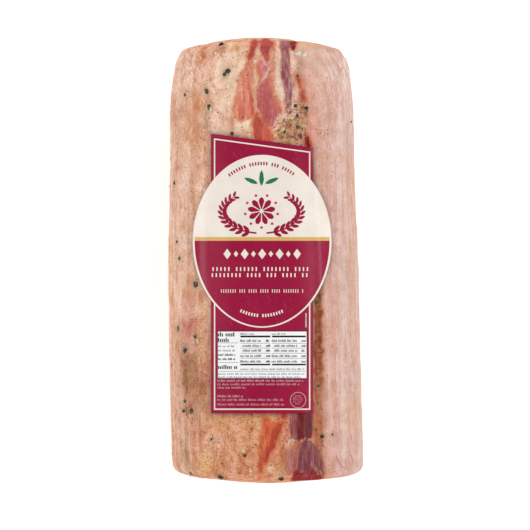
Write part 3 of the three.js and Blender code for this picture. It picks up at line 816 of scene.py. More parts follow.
# Round dots of a tint in as many cells as the chance allows.
def dotted(tree, colour, chance, size, widest, tint, strength):
    cells = addNode(tree, "ShaderNodeTexVoronoi", {"Vector": objectPlace(tree), "Scale": 1 / size}).outputs
    picks = addNode(tree, "ShaderNodeSeparateColor", {0: cells["Color"]}).outputs
    present = (chance - picks[0]).ranged(0, 0.06, 0, strength)
    dotSize = Shade(picks[1]).ranged(0, 1, 0.4 * widest / size, widest / size, "LINEAR")
    return ((dotSize - cells["Distance"]).ranged(-0.03, 0.06) * present).between(colour, tint)


# An orange edge lies on both sides of where fat meets lean, but not along silvery lean.
def meatColour(tree, edge, softness):
    plain = fieldOf(tree, "silver").ranged(0, 0.5, 1, 0, "LINEAR")
    lean = grained(tree, fieldOf(tree, "leanTint", "Color"), leanGrain)
    lean = (edge.ranged(0, 1.8, 0.55, 0) * plain).between(lean, tone(212, 116, 76))
    lean = grained(tree, lean, leanFlecks)
    fat = grained(tree, fieldOf(tree, "fatTint", "Color"), fatGrain)
    uneven = fieldOf(tree, "mottle") * 0.5 + fieldOf(tree, "spice") * 0.6
    fat = grained(tree, uneven.between(fat, grained(tree, fat, fatFreckles)), fatStreaksAndSheen)
    fat = (edge.ranged(-2.4, 0, 0, 0.6) * plain).between(fat, tone(220, 138, 84))
    return edge.maths("DIVIDE", softness).ranged(-1, 1).between(fat, lean)


# Mottled fat, lean, and a tan crust of spice and torn membrane that sits in the seam above the label.
def meatMaterial():
    material, tree = newMaterial("curedPorkBelly")
    place = objectPlace(tree)
    ragged = noise(objectPlace(tree, 0.2), 2.2, 4) - 0.5
    fine = noise(place, 0.9, 4) - 0.5
    strands = noise(objectPlace(tree, 0.07), 1.1, 3) - 0.5
    lumps = noise(place, 2.6, 4) - 0.5
    edge = fieldOf(tree, "leanDepth") + (ragged * 2.6 + fine * 1.4 + strands * 2.6 + lumps * 2.4)
    colour = meatColour(tree, edge, fieldOf(tree, "soft") * 1.3 + 0.8)

    crusted = fieldOf(tree, "clump") + (ragged * 4 + fine * 2.5 + lumps * 12)
    crust = noise(place, 3, 5, 0.65).ranged(0.4, 0.6).between(tone(154, 96, 66), tone(210, 154, 116))
    colour = crusted.ranged(-0.4, 0.9).between(colour, grained(tree, crust, crustCrumbs))
    lace = laceOf(place, 3.4, 0.3)
    atRim = crusted.ranged(-2.4, -0.6) * crusted.ranged(0.8, 3, 0.55, 0.12)
    colour = (lace * atRim).between(colour, tone(234, 208, 190))
    tissue, tissueTone = fieldOf(tree, "tissue"), tone(234, 208, 194)
    colour = (tissue + fine * 2.6).ranged(-0.1, 0.4, 0, 0.7).between(colour, tissueTone)
    colour = (lace * (tissue + 1.1).ranged(-0.2, 0.4, 0, 0.5)).between(colour, tissueTone)

    spice = fieldOf(tree, "spice")
    colour = dotted(tree, colour, spice * 0.8, 2.6, 0.55, tone(112, 54, 28), 0.85)
    colour = dotted(tree, colour, spice, 1.4, 0.38, tone(142, 70, 34), 0.9)
    others = {
        "Normal": bumped(ragged * 0.8 + noise(place, 1.6, 4), 0.35, 0.0003),
        "IOR": 1.4,
        "Specular IOR Level": 0.0,
        "Subsurface Weight": 0.08,
        "Subsurface Radius": (1.0, 0.45, 0.3),
        "Subsurface Scale": 0.0015,
    }
    return finished(material, colour, noise(place, 7, 4).ranged(0.3, 0.7, 0.5, 0.64), others)


def meatRelief(angle, y, cap):
    around = arcFrom(0, angle)
    return (ripple(around, y, 51, 22, 0.09) + ripple(around, y, 52, 9, 0.05)) * (1 - 0.7 * cap)


def makeMeat():
    seen = np.linspace(-88, 88, meat["columnsSeen"])
    unseen = np.linspace(88, 272, meat["columnsHidden"] + 2)[1:-1]
    angles = np.r_[seen, unseen] * degree
    points, faces, facts = rollSkin(angles, rollRows(*meat["rows"]), -meat["inset"], 1.0, meatRelief)
    mesh = meshOf("rollMeat", points, faces)
    for name, values in meatFields(points, *facts).items():
        writeField(mesh, name, values)
    piece = pieceOf("rollMeat", mesh, meatMaterial())
    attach(piece, "root")
    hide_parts("pancetta")
    print("meat:", len(points), "points")


# The label's outline as seen from above.
label = {
    "gap": 0.35,
    "thickness": 0.4,
    "centre": -1.96,
    "halfWidth": 28.65,
    "bottom": -85.7,
    "topLeft": 71,
    "topRight": 63.1,
    "ovalCentre": 10.7,
    "ovalHalfWidth": 38.85,
    "ovalHalfHeight": 48.4,
}
labelX, labelWide, labelTop = label["centre"], label["halfWidth"], label["gap"] + label["thickness"]
ovalY, ovalWide, ovalHigh = label["ovalCentre"], label["ovalHalfWidth"], label["ovalHalfHeight"]


def slantedTop(p):
    across = (p - labelX + labelWide) / (2 * labelWide)
    return mixed(label["topLeft"], label["topRight"], across)


# Distance from a seen place to the label, negative on it.
def labelMargin(p, q):
    across = np.abs(p - labelX)
    onRect = np.maximum(across - labelWide, np.maximum(label["bottom"] - q, q - slantedTop(p)))
    size = np.hypot(across / ovalWide, (q - ovalY) / ovalHigh)
    return np.minimum(onRect, (size - 1) * ovalWide)


# A thin closed shell over the label's curve from a grid of seen places, between two lifts.
def shellOf(p, q, low, high):
    across = (p[:-1, 1:] - p[:-1, :-1]) * (q[1:, :-1] - q[:-1, :-1])
    if np.sum(across - (p[1:, :-1] - p[:-1, :-1]) * (q[:-1, 1:] - q[:-1, :-1])) < 0:
        p, q = p[:, ::-1], q[:, ::-1]
    points = np.vstack([pointSeenAt(p, q, tautRadius, lift).reshape(-1, 3) for lift in (high, low)])
    index = np.arange(p.size).reshape(p.shape)
    upper = np.stack([index[:-1, :-1], index[:-1, 1:], index[1:, 1:], index[1:, :-1]], -1).reshape(-1, 4)
    rim = np.r_[index[0, :-1], index[:-1, -1], index[-1, :0:-1], index[:0:-1, 0]]
    after = np.roll(rim, -1)
    walls = np.stack([rim + p.size, after + p.size, after, rim], -1)
    return points, np.vstack([upper, upper[:, ::-1] + p.size, walls])


# A grid of places from a rule for u, v in 0..1, fine enough for the label's curve.
def patch(rule, across, along, finest=2.0):
    columns, rows = (max(2, math.ceil(reach / finest) + 1) for reach in (across, along))
    u, v = np.meshgrid(np.linspace(0, 1, columns), np.linspace(0, 1, rows))
    p, q = rule(u, v)
    return p + 0 * u, q + 0 * u


def barPatch(left, right, low, high):
    return patch(lambda u, v: (mixed(left, right, u), mixed(low, high, v)), right - left, high - low)


def ovalPlace(turn, share=1.0, inset=0.0):
    p = labelX + (ovalWide * share - inset) * np.sin(turn)
    q = ovalY + (ovalHigh * share - inset) * np.cos(turn)
    return p, q


# Coated paper or the ink on it: a fine grain, soft clouding and faint slanting scratches in the gloss.
def paperMaterial(name, colour):
    material, tree = newMaterial(name)
    place = objectPlace(tree)
    grain, clouds = noise(place, 0.5, 4), noise(place, 16, 3)
    slants = ((-26, 0.55), (-44, 0.4))
    strokes = [noise(objectPlace(tree, 0.035, turn), size, 2, 0.5) for turn, size in slants]
    marks = strokes[0].ranged(0.62, 0.7).maths("MAXIMUM", strokes[1].ranged(0.62, 0.7))
    marks = marks * noise(place, 9, 2).ranged(0.46, 0.58)
    changes = ((0.96, 0), (1.04, 0.003), (0.93, 0.07))
    darker, lighter, worn = ((*[min(c * s + rise, 1) for c in colour[:3]], 1) for s, rise in changes)
    base = clouds.ranged(0.35, 0.65).between(darker, lighter)
    base = grain.ranged(0.4, 0.6, 0, 0.3).between(base, lighter)
    base = (marks * 0.5).between(base, worn)
    others = {"Normal": bumped(grain, 0.08, 0.0001), "IOR": 1.45, "Specular IOR Level": 0.2}
    return finished(material, base, clouds.ranged(0.35, 0.65, 0.15, 0.2) + marks * 0.1, others)


inks = {
    "burgundy": (156, 16, 60),
    "cream": (244, 233, 221),
    "dim": (216, 176, 180),
    "gold": (222, 181, 109),
    "white": (255, 255, 255),
    "black": (34, 28, 30),
    "leafGreen": (34, 122, 82),
    "berryRed": (214, 48, 52),
}
stripe = {"low": 11.0, "high": 13.1}
border = {"side": 1.65, "bottom": 2.0, "top": 2.4, "width": 0.74}
ring = {"side": 1.05, "end": 0.75}  # width of the cream line round the oval
panel = {"left": -27.1, "right": 23.3, "low": -66.3, "high": -39.5, "edge": 0.34}
columnsOf = {"first": (-26.4, -15.2), "second": (-14.1, 2.6), "third": (3.6, 22.5)}
thickBars = [(-43.1, -42.1), (-58.8, -57.9)]
thin = 0.18  # height of a fine rule
thinRules = {"first": [-46.3, -57.3], "both": [-46.5, -49.2, -52.1, -54.9], "foot": -62.2}
printLift = {"field": 0.04, "ink": 0.08, "mark": 0.03, "height": 0.1}


def labelBody(material):
    meet = ovalHigh * math.sqrt(1 - (labelWide / ovalWide) ** 2)
    turn = math.asin(meet / ovalHigh)
    low, high = ovalY - meet, ovalY + meet
    rows = [(labelWide, mixed(label["bottom"], low, v), 0) for v in np.arange(0, 1, 1 / 34)]
    turns = np.linspace(-turn, turn, 60)
    rows += [(ovalWide * math.cos(v), ovalY + ovalHigh * math.sin(v), 0) for v in turns]
    rows += [(labelWide, high, v) for v in np.arange(1, 13) / 12]
    u = np.linspace(-1, 1, 60)
    p = np.array([labelX + halfWidth * u for halfWidth, _, _ in rows])
    q = np.array([mixed(place, slantedTop(labelX + halfWidth * u), v) for halfWidth, place, v in rows])
    points, quads = shellOf(p, q, label["gap"], labelTop)
    piece = pieceOf("labelPaper", meshOf("labelPaper", points, quads.tolist()), material, 40)
    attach(piece, "root")
    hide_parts("label")


def printPiece(name, patches, lift, material):
    points, faces, start = [], [], 0
    top = labelTop + lift
    for p, q in patches:
        some, quads = shellOf(p, q, top - printLift["height"], top)
        points.append(some)
        faces.append(quads + start)
        start += len(some)
    piece = pieceOf(name, meshOf(name, np.vstack(points), np.vstack(faces).tolist()), material, 40)
    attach(piece, "root")


# Where a side line of the border meets the oval.
def ovalEdge(p, side):
    across = (p - labelX) / ovalWide
    return ovalY + side * ovalHigh * np.sqrt(1 - across**2)


def creamPatches():
    turn = math.acos((stripe["high"] - ovalY) / ovalHigh)

    def upper(u, v):
        p, q = ovalPlace(mixed(turn, 0.01, v))
        return labelX + (p - labelX) * (2 * u - 1), q

    def lower(u, v):
        around = mixed(turn, 2 * math.pi - turn, u)
        return ovalPlace(around, 1, mixed(ring["end"], ring["side"], np.abs(np.sin(around))) * v)

    left = labelX - labelWide + border["side"]
    right = labelX + labelWide - border["side"]
    low, width = label["bottom"] + border["bottom"], border["width"]

    def topLine(p, v):
        return slantedTop(p) - border["top"] - width * (1 - v)

    patches = [patch(upper, 78, 60), patch(lower, 150, 1), barPatch(left, right, low, low + width)]
    for start in (left, right - width):
        across = lambda u: start + width * u
        below = lambda u, v: (across(u), mixed(low + width, ovalEdge(across(u), -1) + 0.3, v))
        above = lambda u, v: (across(u), mixed(ovalEdge(across(u), 1) - 0.3, topLine(across(u), 0), v))
        patches += [patch(below, 1, 60), patch(above, 1, 20)]
    return patches + [patch(lambda u, v: (mixed(left, right, u), topLine(mixed(left, right, u), v)), 56, 1)]


def goldPatches():
    def rule(u, v):
        q = mixed(stripe["low"], stripe["high"], v)
        reach = ovalWide * np.sqrt(1 - ((q - ovalY) / ovalHigh) ** 2)
        return labelX + (reach - ring["side"]) * (2 * u - 1), q

    return [patch(rule, 76, 2)]


def panelPatches():
    rows = thickBars + [(q, q + thin) for q in thinRules["both"]]
    bars = [(*columnsOf[name], *row) for row in rows for name in ("second", "third")]
    bars += [(*columnsOf["first"], q, q + thin) for q in thinRules["first"]]
    bars.append((columnsOf["first"][0], columnsOf["third"][1], thinRules["foot"], thinRules["foot"] + thin))
    left, right, low, high, edge = panel.values()
    bars += [(left, right, low, low + edge), (left, right, high - edge, high)]
    bars += [(left, left + edge, low, high), (right - edge, right, low, high)]
    return [barPatch(*bar) for bar in bars]


# Geometry Nodes: named inputs, and an end that makes one coloured mesh of what was placed.
def beginTree(name, inputs, output):
    tree = bpy.data.node_groups.new(name, "GeometryNodeTree")
    for key, kind in inputs.items():
        tree.interface.new_socket(key, in_out="INPUT", socket_type="NodeSocket" + kind)
    tree.interface.new_socket(output, in_out="OUTPUT", socket_type="NodeSocketGeometry")
    return tree, addNode(tree, "NodeGroupInput").outputs


def endTree(tree, geometry, material):
    real = addNode(tree, "GeometryNodeRealizeInstances", {"Geometry": geometry}).outputs[0]
    coloured = addNode(tree, "GeometryNodeSetMaterial", {"Geometry": real, "Material": material}).outputs[0]
    addNode(tree, "NodeGroupOutput", {0: coloured})
    return tree


def named(tree, name, kind):
    return addNode(tree, "GeometryNodeInputNamedAttribute", {"Name": name}, data_type=kind).outputs[0]


# Sets one of several shapes on every point, by the point's own turn and size.
def strewTree(name, shapes, material):
    tree, given = beginTree(name, {"Points": "Geometry", "Size": "Float", "Seed": "Int"}, "Pieces")
    kinds = addNode(tree, "GeometryNodeJoinGeometry")
    for shape in shapes:
        info = addNode(tree, "GeometryNodeObjectInfo", {"Object": shape, "As Instance": True})
        tree.links.new(info.outputs["Geometry"], kinds.inputs[0])
    inputs = {5: len(shapes) - 1, "Seed": given["Seed"]}
    chosen = addNode(tree, "FunctionNodeRandomValue", inputs, data_type="INT")
    inputs = {0: named(tree, "size", "FLOAT_VECTOR"), "Scale": given["Size"]}
    sized = addNode(tree, "ShaderNodeVectorMath", inputs, operation="SCALE").outputs[0]
    turned = addNode(tree, "FunctionNodeEulerToRotation", {0: named(tree, "turn", "FLOAT_VECTOR")}).outputs[0]
    inputs = {"Points": given["Points"], "Instance": kinds.outputs[0], "Pick Instance": True}
    inputs |= {"Instance Index": chosen.outputs[2], "Rotation": turned, "Scale": sized}
    return endTree(tree, addNode(tree, "GeometryNodeInstanceOnPoints", inputs).outputs[0], material)


# Runs a tree on a holder mesh and keeps the result as a plain mesh.
def treeResult(name, holder, tree, values):
    modifier = holder.modifiers.new(name, "NODES")
    modifier.node_group = tree
    for item in tree.interface.items_tree:
        if item.name in values:
            modifier[item.identifier] = values[item.name]
    done = holder.evaluated_get(bpy.context.evaluated_depsgraph_get())
    mesh = bpy.data.meshes.new_from_object(done)
    mesh.name = name
    bpy.data.objects.remove(holder)
    return mesh


def strewnPiece(name, points, turns, sizes, shapes, material, sharpFrom=40):
    holder = pieceOf(name + "Places", meshOf(name + "Places", points, []), None)
    writeField(holder.data, "turn", turns)
    writeField(holder.data, "size", sizes)
    mesh = treeResult(name, holder, strewTree(name, shapes, material), {"Size": mm, "Seed": 5})
    piece = pieceOf(name, mesh, None, sharpFrom)
    for shape in shapes:
        bpy.data.objects.remove(shape)
    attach(piece, "root")
    print(name + ":", len(points), "pieces,", len(mesh.polygons), "faces")


# Euler turns that put z on the outward direction and y near the roll's length, after a spin about z.
def turnsOf(across, along, spins, tilts):
    outward = np.cross(across, along)
    turns = []
    for i in range(len(outward)):
        axes = [v[i] / np.linalg.norm(v[i]) for v in (across, np.cross(outward, across), outward)]
        turn = Matrix(axes).transposed() @ Matrix.Rotation(spins[i], 3, "Z")
        turns.append((turn @ Matrix.Rotation(tilts[i], 3, "X")).to_euler())
    return np.array(turns)


# An upright prism of unit size over a flat outline.
def prismShape(name, outline):
    n = len(outline)
    mesh = bpy.data.meshes.new(name)
    walls = [[i, (i + 1) % n, n + (i + 1) % n, n + i] for i in range(n)]
    ends = [list(range(n))[::-1], list(range(n, 2 * n))]
    mesh.from_pydata([(x, y, z) for z in (-0.5, 0.5) for x, y in outline], [], ends + walls)
    return objectOf(name, mesh)


def markPiece(name, marks, outline, material):
    p, q, width, height, spin = np.array(marks, float).T
    step, lift = 0.3, labelTop + printLift["mark"]
    across = pointSeenAt(p + step, q, tautRadius, lift) - pointSeenAt(p - step, q, tautRadius, lift)
    along = pointSeenAt(p, q + step, tautRadius, lift) - pointSeenAt(p, q - step, tautRadius, lift)
    sizes = np.stack([width, height, np.full(len(p), printLift["height"])], -1)
    turns = turnsOf(across, along, spin, 0 * p)
    shape = prismShape(name + "Shape", outline)
    strewnPiece(name, pointSeenAt(p, q, tautRadius, lift), turns, sizes, [shape], material)


ticks = {"width": 0.36, "groupOf": (3, 9), "low": 0.72}  # the small print, as marks that say nothing


# A row of little upright marks in groups, from left to right along a base line.
def tickRow(left, right, low, height, seed, boldness, pitch, even=False):
    draws = np.random.default_rng(seed)
    marks = []
    place, group = left, draws.integers(*ticks["groupOf"])
    while place < right:
        if group == 0:
            group = draws.integers(*ticks["groupOf"])
        else:
            tall = height * (1 if even else draws.choice([ticks["low"], ticks["low"], 1.0]))
            marks.append((place, low + tall / 2, ticks["width"] * boldness, tall, 0))
            group -= 1
        place += pitch
    return marks


def tickRows(rows):
    return [mark for row in rows for mark in tickRow(*row)]


def tickArc(turn, share, height, seed, upsideDown=False):
    marks = []
    reach = 2 * turn * share * (ovalWide + ovalHigh) / 2
    for place, _, width, tall, _ in tickRow(0, reach, 0, height, seed, 2.2, 1.75, True):
        angle = mixed(-turn, turn, place / reach)
        p, q = ovalPlace(math.pi - angle if upsideDown else angle, share)
        slope = math.atan2(ovalHigh * math.sin(angle), ovalWide * math.cos(angle))
        marks.append((p, q, width, tall, slope if upsideDown else -slope))
    return marks


def creamMarks():
    rows = [(-29.4, 24.8, -5.9, 2.1, 1, 2.1, 2.2, True), (-29.8, 24.2, -9.3, 2.1, 2, 2.1, 2.2, True)]
    rows.append((-24.8, 21.6, -18.1, 1.9, 3, 1.2, 1.3, True))
    bars = [(22.6, -37.2 + 0.62 * i, 0.9, 0.3, 0) for i in range(13)]
    return tickRows(rows) + tickArc(0.36, 0.86, 1.7, 4, True) + bars


# The small print at the label's foot and in its round mark, in a dimmer ink.
def dimMarks():
    ends = [(-67.9, 20.9), (-69.9, 19.3), (-71.8, -11), (-76.6, -12.3), (-78.6, 9.6), (-81.2, 10.7)]
    rows = []
    for i, (low, right) in enumerate(ends):
        rows.append((-26.8, right, low, 1.15, 10 + i, 0.85 if i in (0, 3) else 0.7, 0.66))
    for i, reach in enumerate((1.6, 2.6, 3, 2.6, 1.6)):
        rows.append((18.2 - reach, 18.2 + reach, -76.1 - 1.1 * i, 0.6, 20 + i, 0.6, 0.6))
    return tickRows(rows)


def blackMarks():
    rows = [(-26.3, -16.4, -42.6, 2.3, 30, 1.9, 1.05), (-26.3, -19.5, -45.7, 2.3, 31, 1.9, 1.05)]
    rows.append((-26.3, -15.8, -60.8, 2.2, 33, 1.8, 1.0))
    for i, low in enumerate([-48.6, -51, -53.4, -55.8]):
        rows.append((-26.3, -17, low, 1.1, 34 + i, 0.7 + 0.5 * (i > 1), 0.6))
    for name, seed in (("second", 50), ("third", 60)):
        left, right = columnsOf[name]
        rows.append((left, left + 7.5, -41.6, 0.8, seed, 0.8, 0.6))
        for i, low in enumerate([-45.6, -48.4, -51.1, -54.1, -57.2]):
            rows.append((left + 1.4 * (i in (1, 2)), right - 5, low, 1.2, seed + 1 + i, 1.0, 0.62))
            rows.append((right - 2.2, right, low, 1.2, seed + 7 + i, 1.2, 0.62))
    rows += [(-14, 22, -61.4, 1.0, 71, 0.7, 0.6), (-26.3, 22, -64, 0.95, 72, 0.6, 0.55)]
    return tickRows(rows + [(-26.3, 20, -65.8, 0.95, 73, 0.6, 0.55)])


wreath = {
    "middle": (-2.3, 27.2),
    "halfWidth": 21.5,
    "halfHeight": 12,
    "from": 0.22,  # radians from its lowest point
    "to": 2.4,
    "pairs": 12,
    "leafLength": 4.9,
    "leafWidth": 2.1,
}
# A petal and a berry: how far out from the middle, how long and how wide.
rosette = {"middle": (-2.3, 27.6), "petals": 9, "petal": (4.5, 6.4, 3.1), "berry": (9.2, 1.5, 1.5)}
roundMark = {"middle": (18.2, -78.2), "outer": 4.5, "inner": 4.2}
lozenges = {"count": 9, "from": -21.5, "to": 17.6, "middle": 3.6, "large": (4.4, 5.7), "small": (2.6, 3.4)}
# Leaves: place, length, width and heading.
sprig = [(-8.2, 44.6, 8, 2.4, 2.75), (-2.3, 46.2, 8.6, 2.6, 1.57), (3.6, 44.6, 8, 2.4, 0.4)]
leafHalf = [(0.28, 0.36), (-0.1, 0.5), (-0.36, 0.3)]
outlines = {
    "leaf": [(0.5, 0), *leafHalf, (-0.5, 0), *[(x, -y) for x, y in leafHalf[::-1]]],
    "petal": [(0.5, 0), (0.42, 0.3), (0.16, 0.5), (-0.5, 0.07), (-0.5, -0.07), (0.16, -0.5), (0.42, -0.3)],
    "square": [(-0.5, -0.5), (0.5, -0.5), (0.5, 0.5), (-0.5, 0.5)],
    "diamond": [(0, -0.5), (0.5, 0), (0, 0.5), (-0.5, 0)],
    "disc": [(0.5 * math.cos(i * math.pi / 6), 0.5 * math.sin(i * math.pi / 6)) for i in range(12)],
}


# Place and heading along one of the wreath's two leafy branches, which rise from its lowest point.
def branchPlace(t, side):
    turn = mixed(wreath["from"], wreath["to"], t)
    p = wreath["middle"][0] + side * wreath["halfWidth"] * np.sin(turn)
    q = wreath["middle"][1] - wreath["halfHeight"] * np.cos(turn)
    return p, q, np.arctan2(wreath["halfHeight"] * np.sin(turn), side * wreath["halfWidth"] * np.cos(turn))


def wreathLeaves():
    leaves = []
    for side in (-1, 1):
        for i in range(wreath["pairs"]):
            p, q, heading = branchPlace((i + 0.5) / wreath["pairs"], side)
            size = mixed(1.0, 0.7, i / wreath["pairs"])
            for turn in (heading - 0.62, heading + 0.62):
                reach = 0.58 * wreath["leafLength"] * size
                place = (p + reach * math.cos(turn), q + reach * math.sin(turn))
                leaves.append((*place, wreath["leafLength"] * size, wreath["leafWidth"] * size, turn))
    return leaves


# Marks set in a circle: where the first one is, how far out, how long and how wide.
def circleMarks(start, reach, length, width):
    turns = start + 2 * math.pi * np.arange(rosette["petals"]) / rosette["petals"]
    p, q = rosette["middle"]
    return [(p + reach * math.cos(turn), q + reach * math.sin(turn), length, width, turn) for turn in turns]


def stemPatches():
    patches = []
    for side in (-1, 1):
        def rule(u, v):
            p, q, heading = branchPlace(u - 0.04, side)
            wide = mixed(0.5, 0.22, u) * (v - 0.5) * 2
            return p - wide * np.sin(heading), q + wide * np.cos(heading)

        patches.append(patch(rule, 40, 0.6, 1.5))
    return patches


def roundMarkPatches():
    def rule(u, v):
        reach, turn = mixed(roundMark["outer"], roundMark["inner"], v), 2 * math.pi * u
        return roundMark["middle"][0] + reach * np.sin(turn), roundMark["middle"][1] + reach * np.cos(turn)

    return [patch(rule, 24, 0.5, 1)]


def lozengeMarks():
    last = lozenges["count"] - 1
    places = [mixed(lozenges["from"], lozenges["to"], i / last) for i in range(last + 1)]
    return [(p, lozenges["middle"], *lozenges[["large", "small"][i % 2]], 0) for i, p in enumerate(places)]


def makeLabel():
    paper = {}
    for name, channels in inks.items():
        paper[name] = paperMaterial("paper" + name[0].upper() + name[1:], tone(*channels))
    labelBody(paper["burgundy"])
    whole = barPatch(panel["left"], panel["right"], panel["low"], panel["high"])
    for name, patches, lift, ink in [
        ("labelCream", creamPatches(), "field", "cream"),
        ("labelGold", goldPatches(), "field", "gold"),
        ("labelPanel", [whole], "field", "white"),
        ("labelRules", panelPatches(), "ink", "black"),
        ("labelStems", stemPatches(), "ink", "burgundy"),
        ("labelRing", roundMarkPatches(), "field", "dim"),
    ]:
        printPiece(name, patches, printLift[lift], paper[ink])
    for name, marks, outline, ink in [
        ("labelLeaves", wreathLeaves(), "leaf", "burgundy"),
        ("labelPetals", circleMarks(math.pi / 2, *rosette["petal"]), "petal", "burgundy"),
        ("labelBerries", circleMarks(-math.pi / 2, *rosette["berry"]), "disc", "berryRed"),
        ("labelSprig", sprig, "leaf", "leafGreen"),
        ("labelArc", tickArc(0.55, 0.9, 1.8, 5), "square", "burgundy"),
        ("labelLozenges", lozengeMarks(), "diamond", "cream"),
        ("labelFineCream", creamMarks(), "square", "cream"),
        ("labelFineDim", dimMarks(), "square", "dim"),
        ("labelFineBlack", blackMarks(), "square", "black"),
    ]:
        markPiece(name, marks, outlines[outline], paper[ink])
    print("label and its print ready")


# Cracked peppercorns and paler hulls as they are seen from above: place and radius.
blackCorns = [
    (-25.2, 120.9, 1.5), (-21.4, 106.1, 1.73), (-23, 104.4, 1.41), (-33.2, 94.7, 1.73), (-45.2, 92.7, 1.22),
    (-31.9, 86.2, 1.86), (-18.8, 71, 1.54), (17.9, 103.3, 0.83), (16.6, 86.6, 1.41), (23.1, 85.4, 1.34),
    (17.6, 81.3, 1.73), (18.3, 74.5, 1.73), (19.2, 69.4, 2.05), (10.6, 72.2, 1.15), (-51.1, 43.5, 1.41),
    (-49.7, 10.4, 1.02), (-48.4, 1.1, 1.47), (-39.2, -13.5, 1.79), (-49.1, -38, 1.41), (-39.5, -42.8, 1.28),
    (-45.5, -50.5, 1.66), (-52.6, -58.5, 1.15), (28.1, -23.6, 1.41), (29.6, -70.3, 1.02),
    (29.2, -79.7, 1.02), (49.2, -74.5, 0.64), (-45.4, -78.7, 1.28), (-46, -84.3, 1.54),
    (-41.4, -84.3, 2.05), (28.1, -94.8, 1.02), (31.9, -98.6, 1.22), (37.5, -97.6, 0.77),
    (-30.4, -100.2, 0.77), (-11.6, -109.3, 1.15), (-25.5, -121.1, 1.79), (8.8, -122.1, 1.92),
    (-42.2, -119, 1.15),
]
paleHulls = [
    (21.3, 75.4, 1.61), (9.6, 73.1, 1.38), (-50.7, -5.9, 0.92), (-38, -45.4, 1.38), (-41.9, -87.4, 1.49),
    (-12.4, -107, 1.49), (-8.6, -117.6, 1.26), (-30.5, 84.6, 1.15), (-45, -49.9, 0.8), (15, 79.5, 1.15),
]
# Seeded zones: how many, angles from the top or the seam, reach along the roll, smallest and largest radius.
cornZones = [
    (16, (-150, -78), (-108, 108), (0.7, 1.5)),
    (14, (74, 150), (-108, 108), (0.6, 1.4)),
    (12, (150, 210), (-108, 108), (0.7, 1.4)),
]
hullZones = [(16, (74, 286), (-112, 112), (0.6, 1.2))]
speckZones = [
    (420, (-72, -10), (-121, -30), (0.2, 0.42)),
    (260, (-72, -30), (-40, 119), (0.18, 0.38)),
    (70, (-30, 5), (62, 119), (0.16, 0.34)),
    (90, (-8, 20), (-121, -86), (0.18, 0.38)),
    (90, (3, 17), (56, 108), (0.18, 0.4), "atSeam"),
    (110, (24, 80), (-120, 119), (0.14, 0.3)),
    (520, (80, 288), (-120, 120), (0.18, 0.42)),
]
crumbZones = [
    (300, (-4.5, 2.5), (-120, -8), (0.2, 0.55), "atSeam"),
    (50, (-6, 3), (62, 108), (0.2, 0.5), "atSeam"),
    (50, (-17, -2), (66, 84), (0.2, 0.5), "atSeam"),
]


def seededPlaces(zones, seed):
    draws = np.random.default_rng(seed)
    found = []
    for left, angles, along, radii, *atSeam in zones:
        while left > 0:
            y, angle = draws.uniform(*along), draws.uniform(*angles) * degree
            radius = mixed(*radii, draws.uniform() ** 1.6)
            angle = angle + (seamAngle(y) if atSeam else 0)
            place = placeAt(angle, y, skinRadius(angle, y))
            p, q = seenPlace(place[None])
            hiddenByLabel = math.cos(angle) > 0 and labelMargin(p, q)[0] < radius + 0.5
            if place[2] > 3 and not hiddenByLabel:
                found.append((angle, y, radius))
                left -= 1
    return found


# Angle, y and radius of corns that were placed as seen.
def seenCorns(corns):
    found = []
    for p, q, radius in corns:
        x, y, z = pointSeenAt(p, q, skinRadius, -meat["inset"])
        found.append((math.atan2(x - axisX(y), z - axisZ), y, radius))
    return found


cornPlaces = seenCorns(blackCorns) + seededPlaces(cornZones, 15)
hullPlaces = seenCorns(paleHulls) + seededPlaces(hullZones, 16)

# What is strewn on the meat: its places, the share of its radius that is sunk in, the number of shapes and
# their first seed, the shapes' detail, flatness and roughness, sharp edges from, seed, then the finish's
# name, dark and light tone, roughness and grain.
spices = {
    "pepperCorns": (cornPlaces, 0.35, 4, 60, 2, 0.78, 0.13, None, 81,
                    "crackedPepper", (20, 16, 14), (82, 76, 68), 0.4, 0.7),
    "pepperHulls": (hullPlaces, 0, 3, 70, 1, 0.5, 0.28, 40, 82,
                    "pepperHull", (196, 162, 92), (240, 222, 164), 0.5, 0.8),
    "spiceSpecks": (seededPlaces(speckZones, 17), 0.2, 3, 90, 1, 0.6, 0.2, 40, 83,
                    "groundSpice", (84, 42, 24), (168, 92, 50), 0.55, 0.6),
    "seamCrumbs": (seededPlaces(crumbZones, 18), 0.3, 3, 95, 1, 0.6, 0.25, 40, 84,
                   "seamCrumb", (84, 40, 24), (200, 112, 64), 0.5, 1.4),
}


# A lumpy round bit made from a coarse ball: "flat" presses it, "rough" breaks its surface.
def bitShape(name, seed, detail, flat, rough):
    draws = np.random.default_rng(seed)
    ball = bmesh.new()
    bmesh.ops.create_icosphere(ball, subdivisions=detail, radius=1)
    for vertex in ball.verts:
        vertex.co *= 1 + draws.uniform(-rough, rough)
        vertex.co.z *= flat
        vertex.co.x *= 1 + 0.15 * math.sin(seed)
    mesh = bpy.data.meshes.new(name)
    ball.to_mesh(mesh)
    ball.free()
    return objectOf(name, mesh)


def spiceMaterial(name, dark, light, rough, size):
    material, tree = newMaterial(name)
    place = objectPlace(tree)
    cracks = noise(place, size, 4, 0.7)
    colour = cracks.ranged(0.38, 0.66).between(tone(*dark), tone(*light))
    colour = noise(place, size * 4, 2).ranged(0.45, 0.75, 0, 0.6).between(colour, tone(*light))
    others = {"Normal": bumped(cracks, 0.6, 0.0002), "Specular IOR Level": 0.15}
    return finished(material, colour, cracks.ranged(0.3, 0.7, rough, rough + 0.2), others)


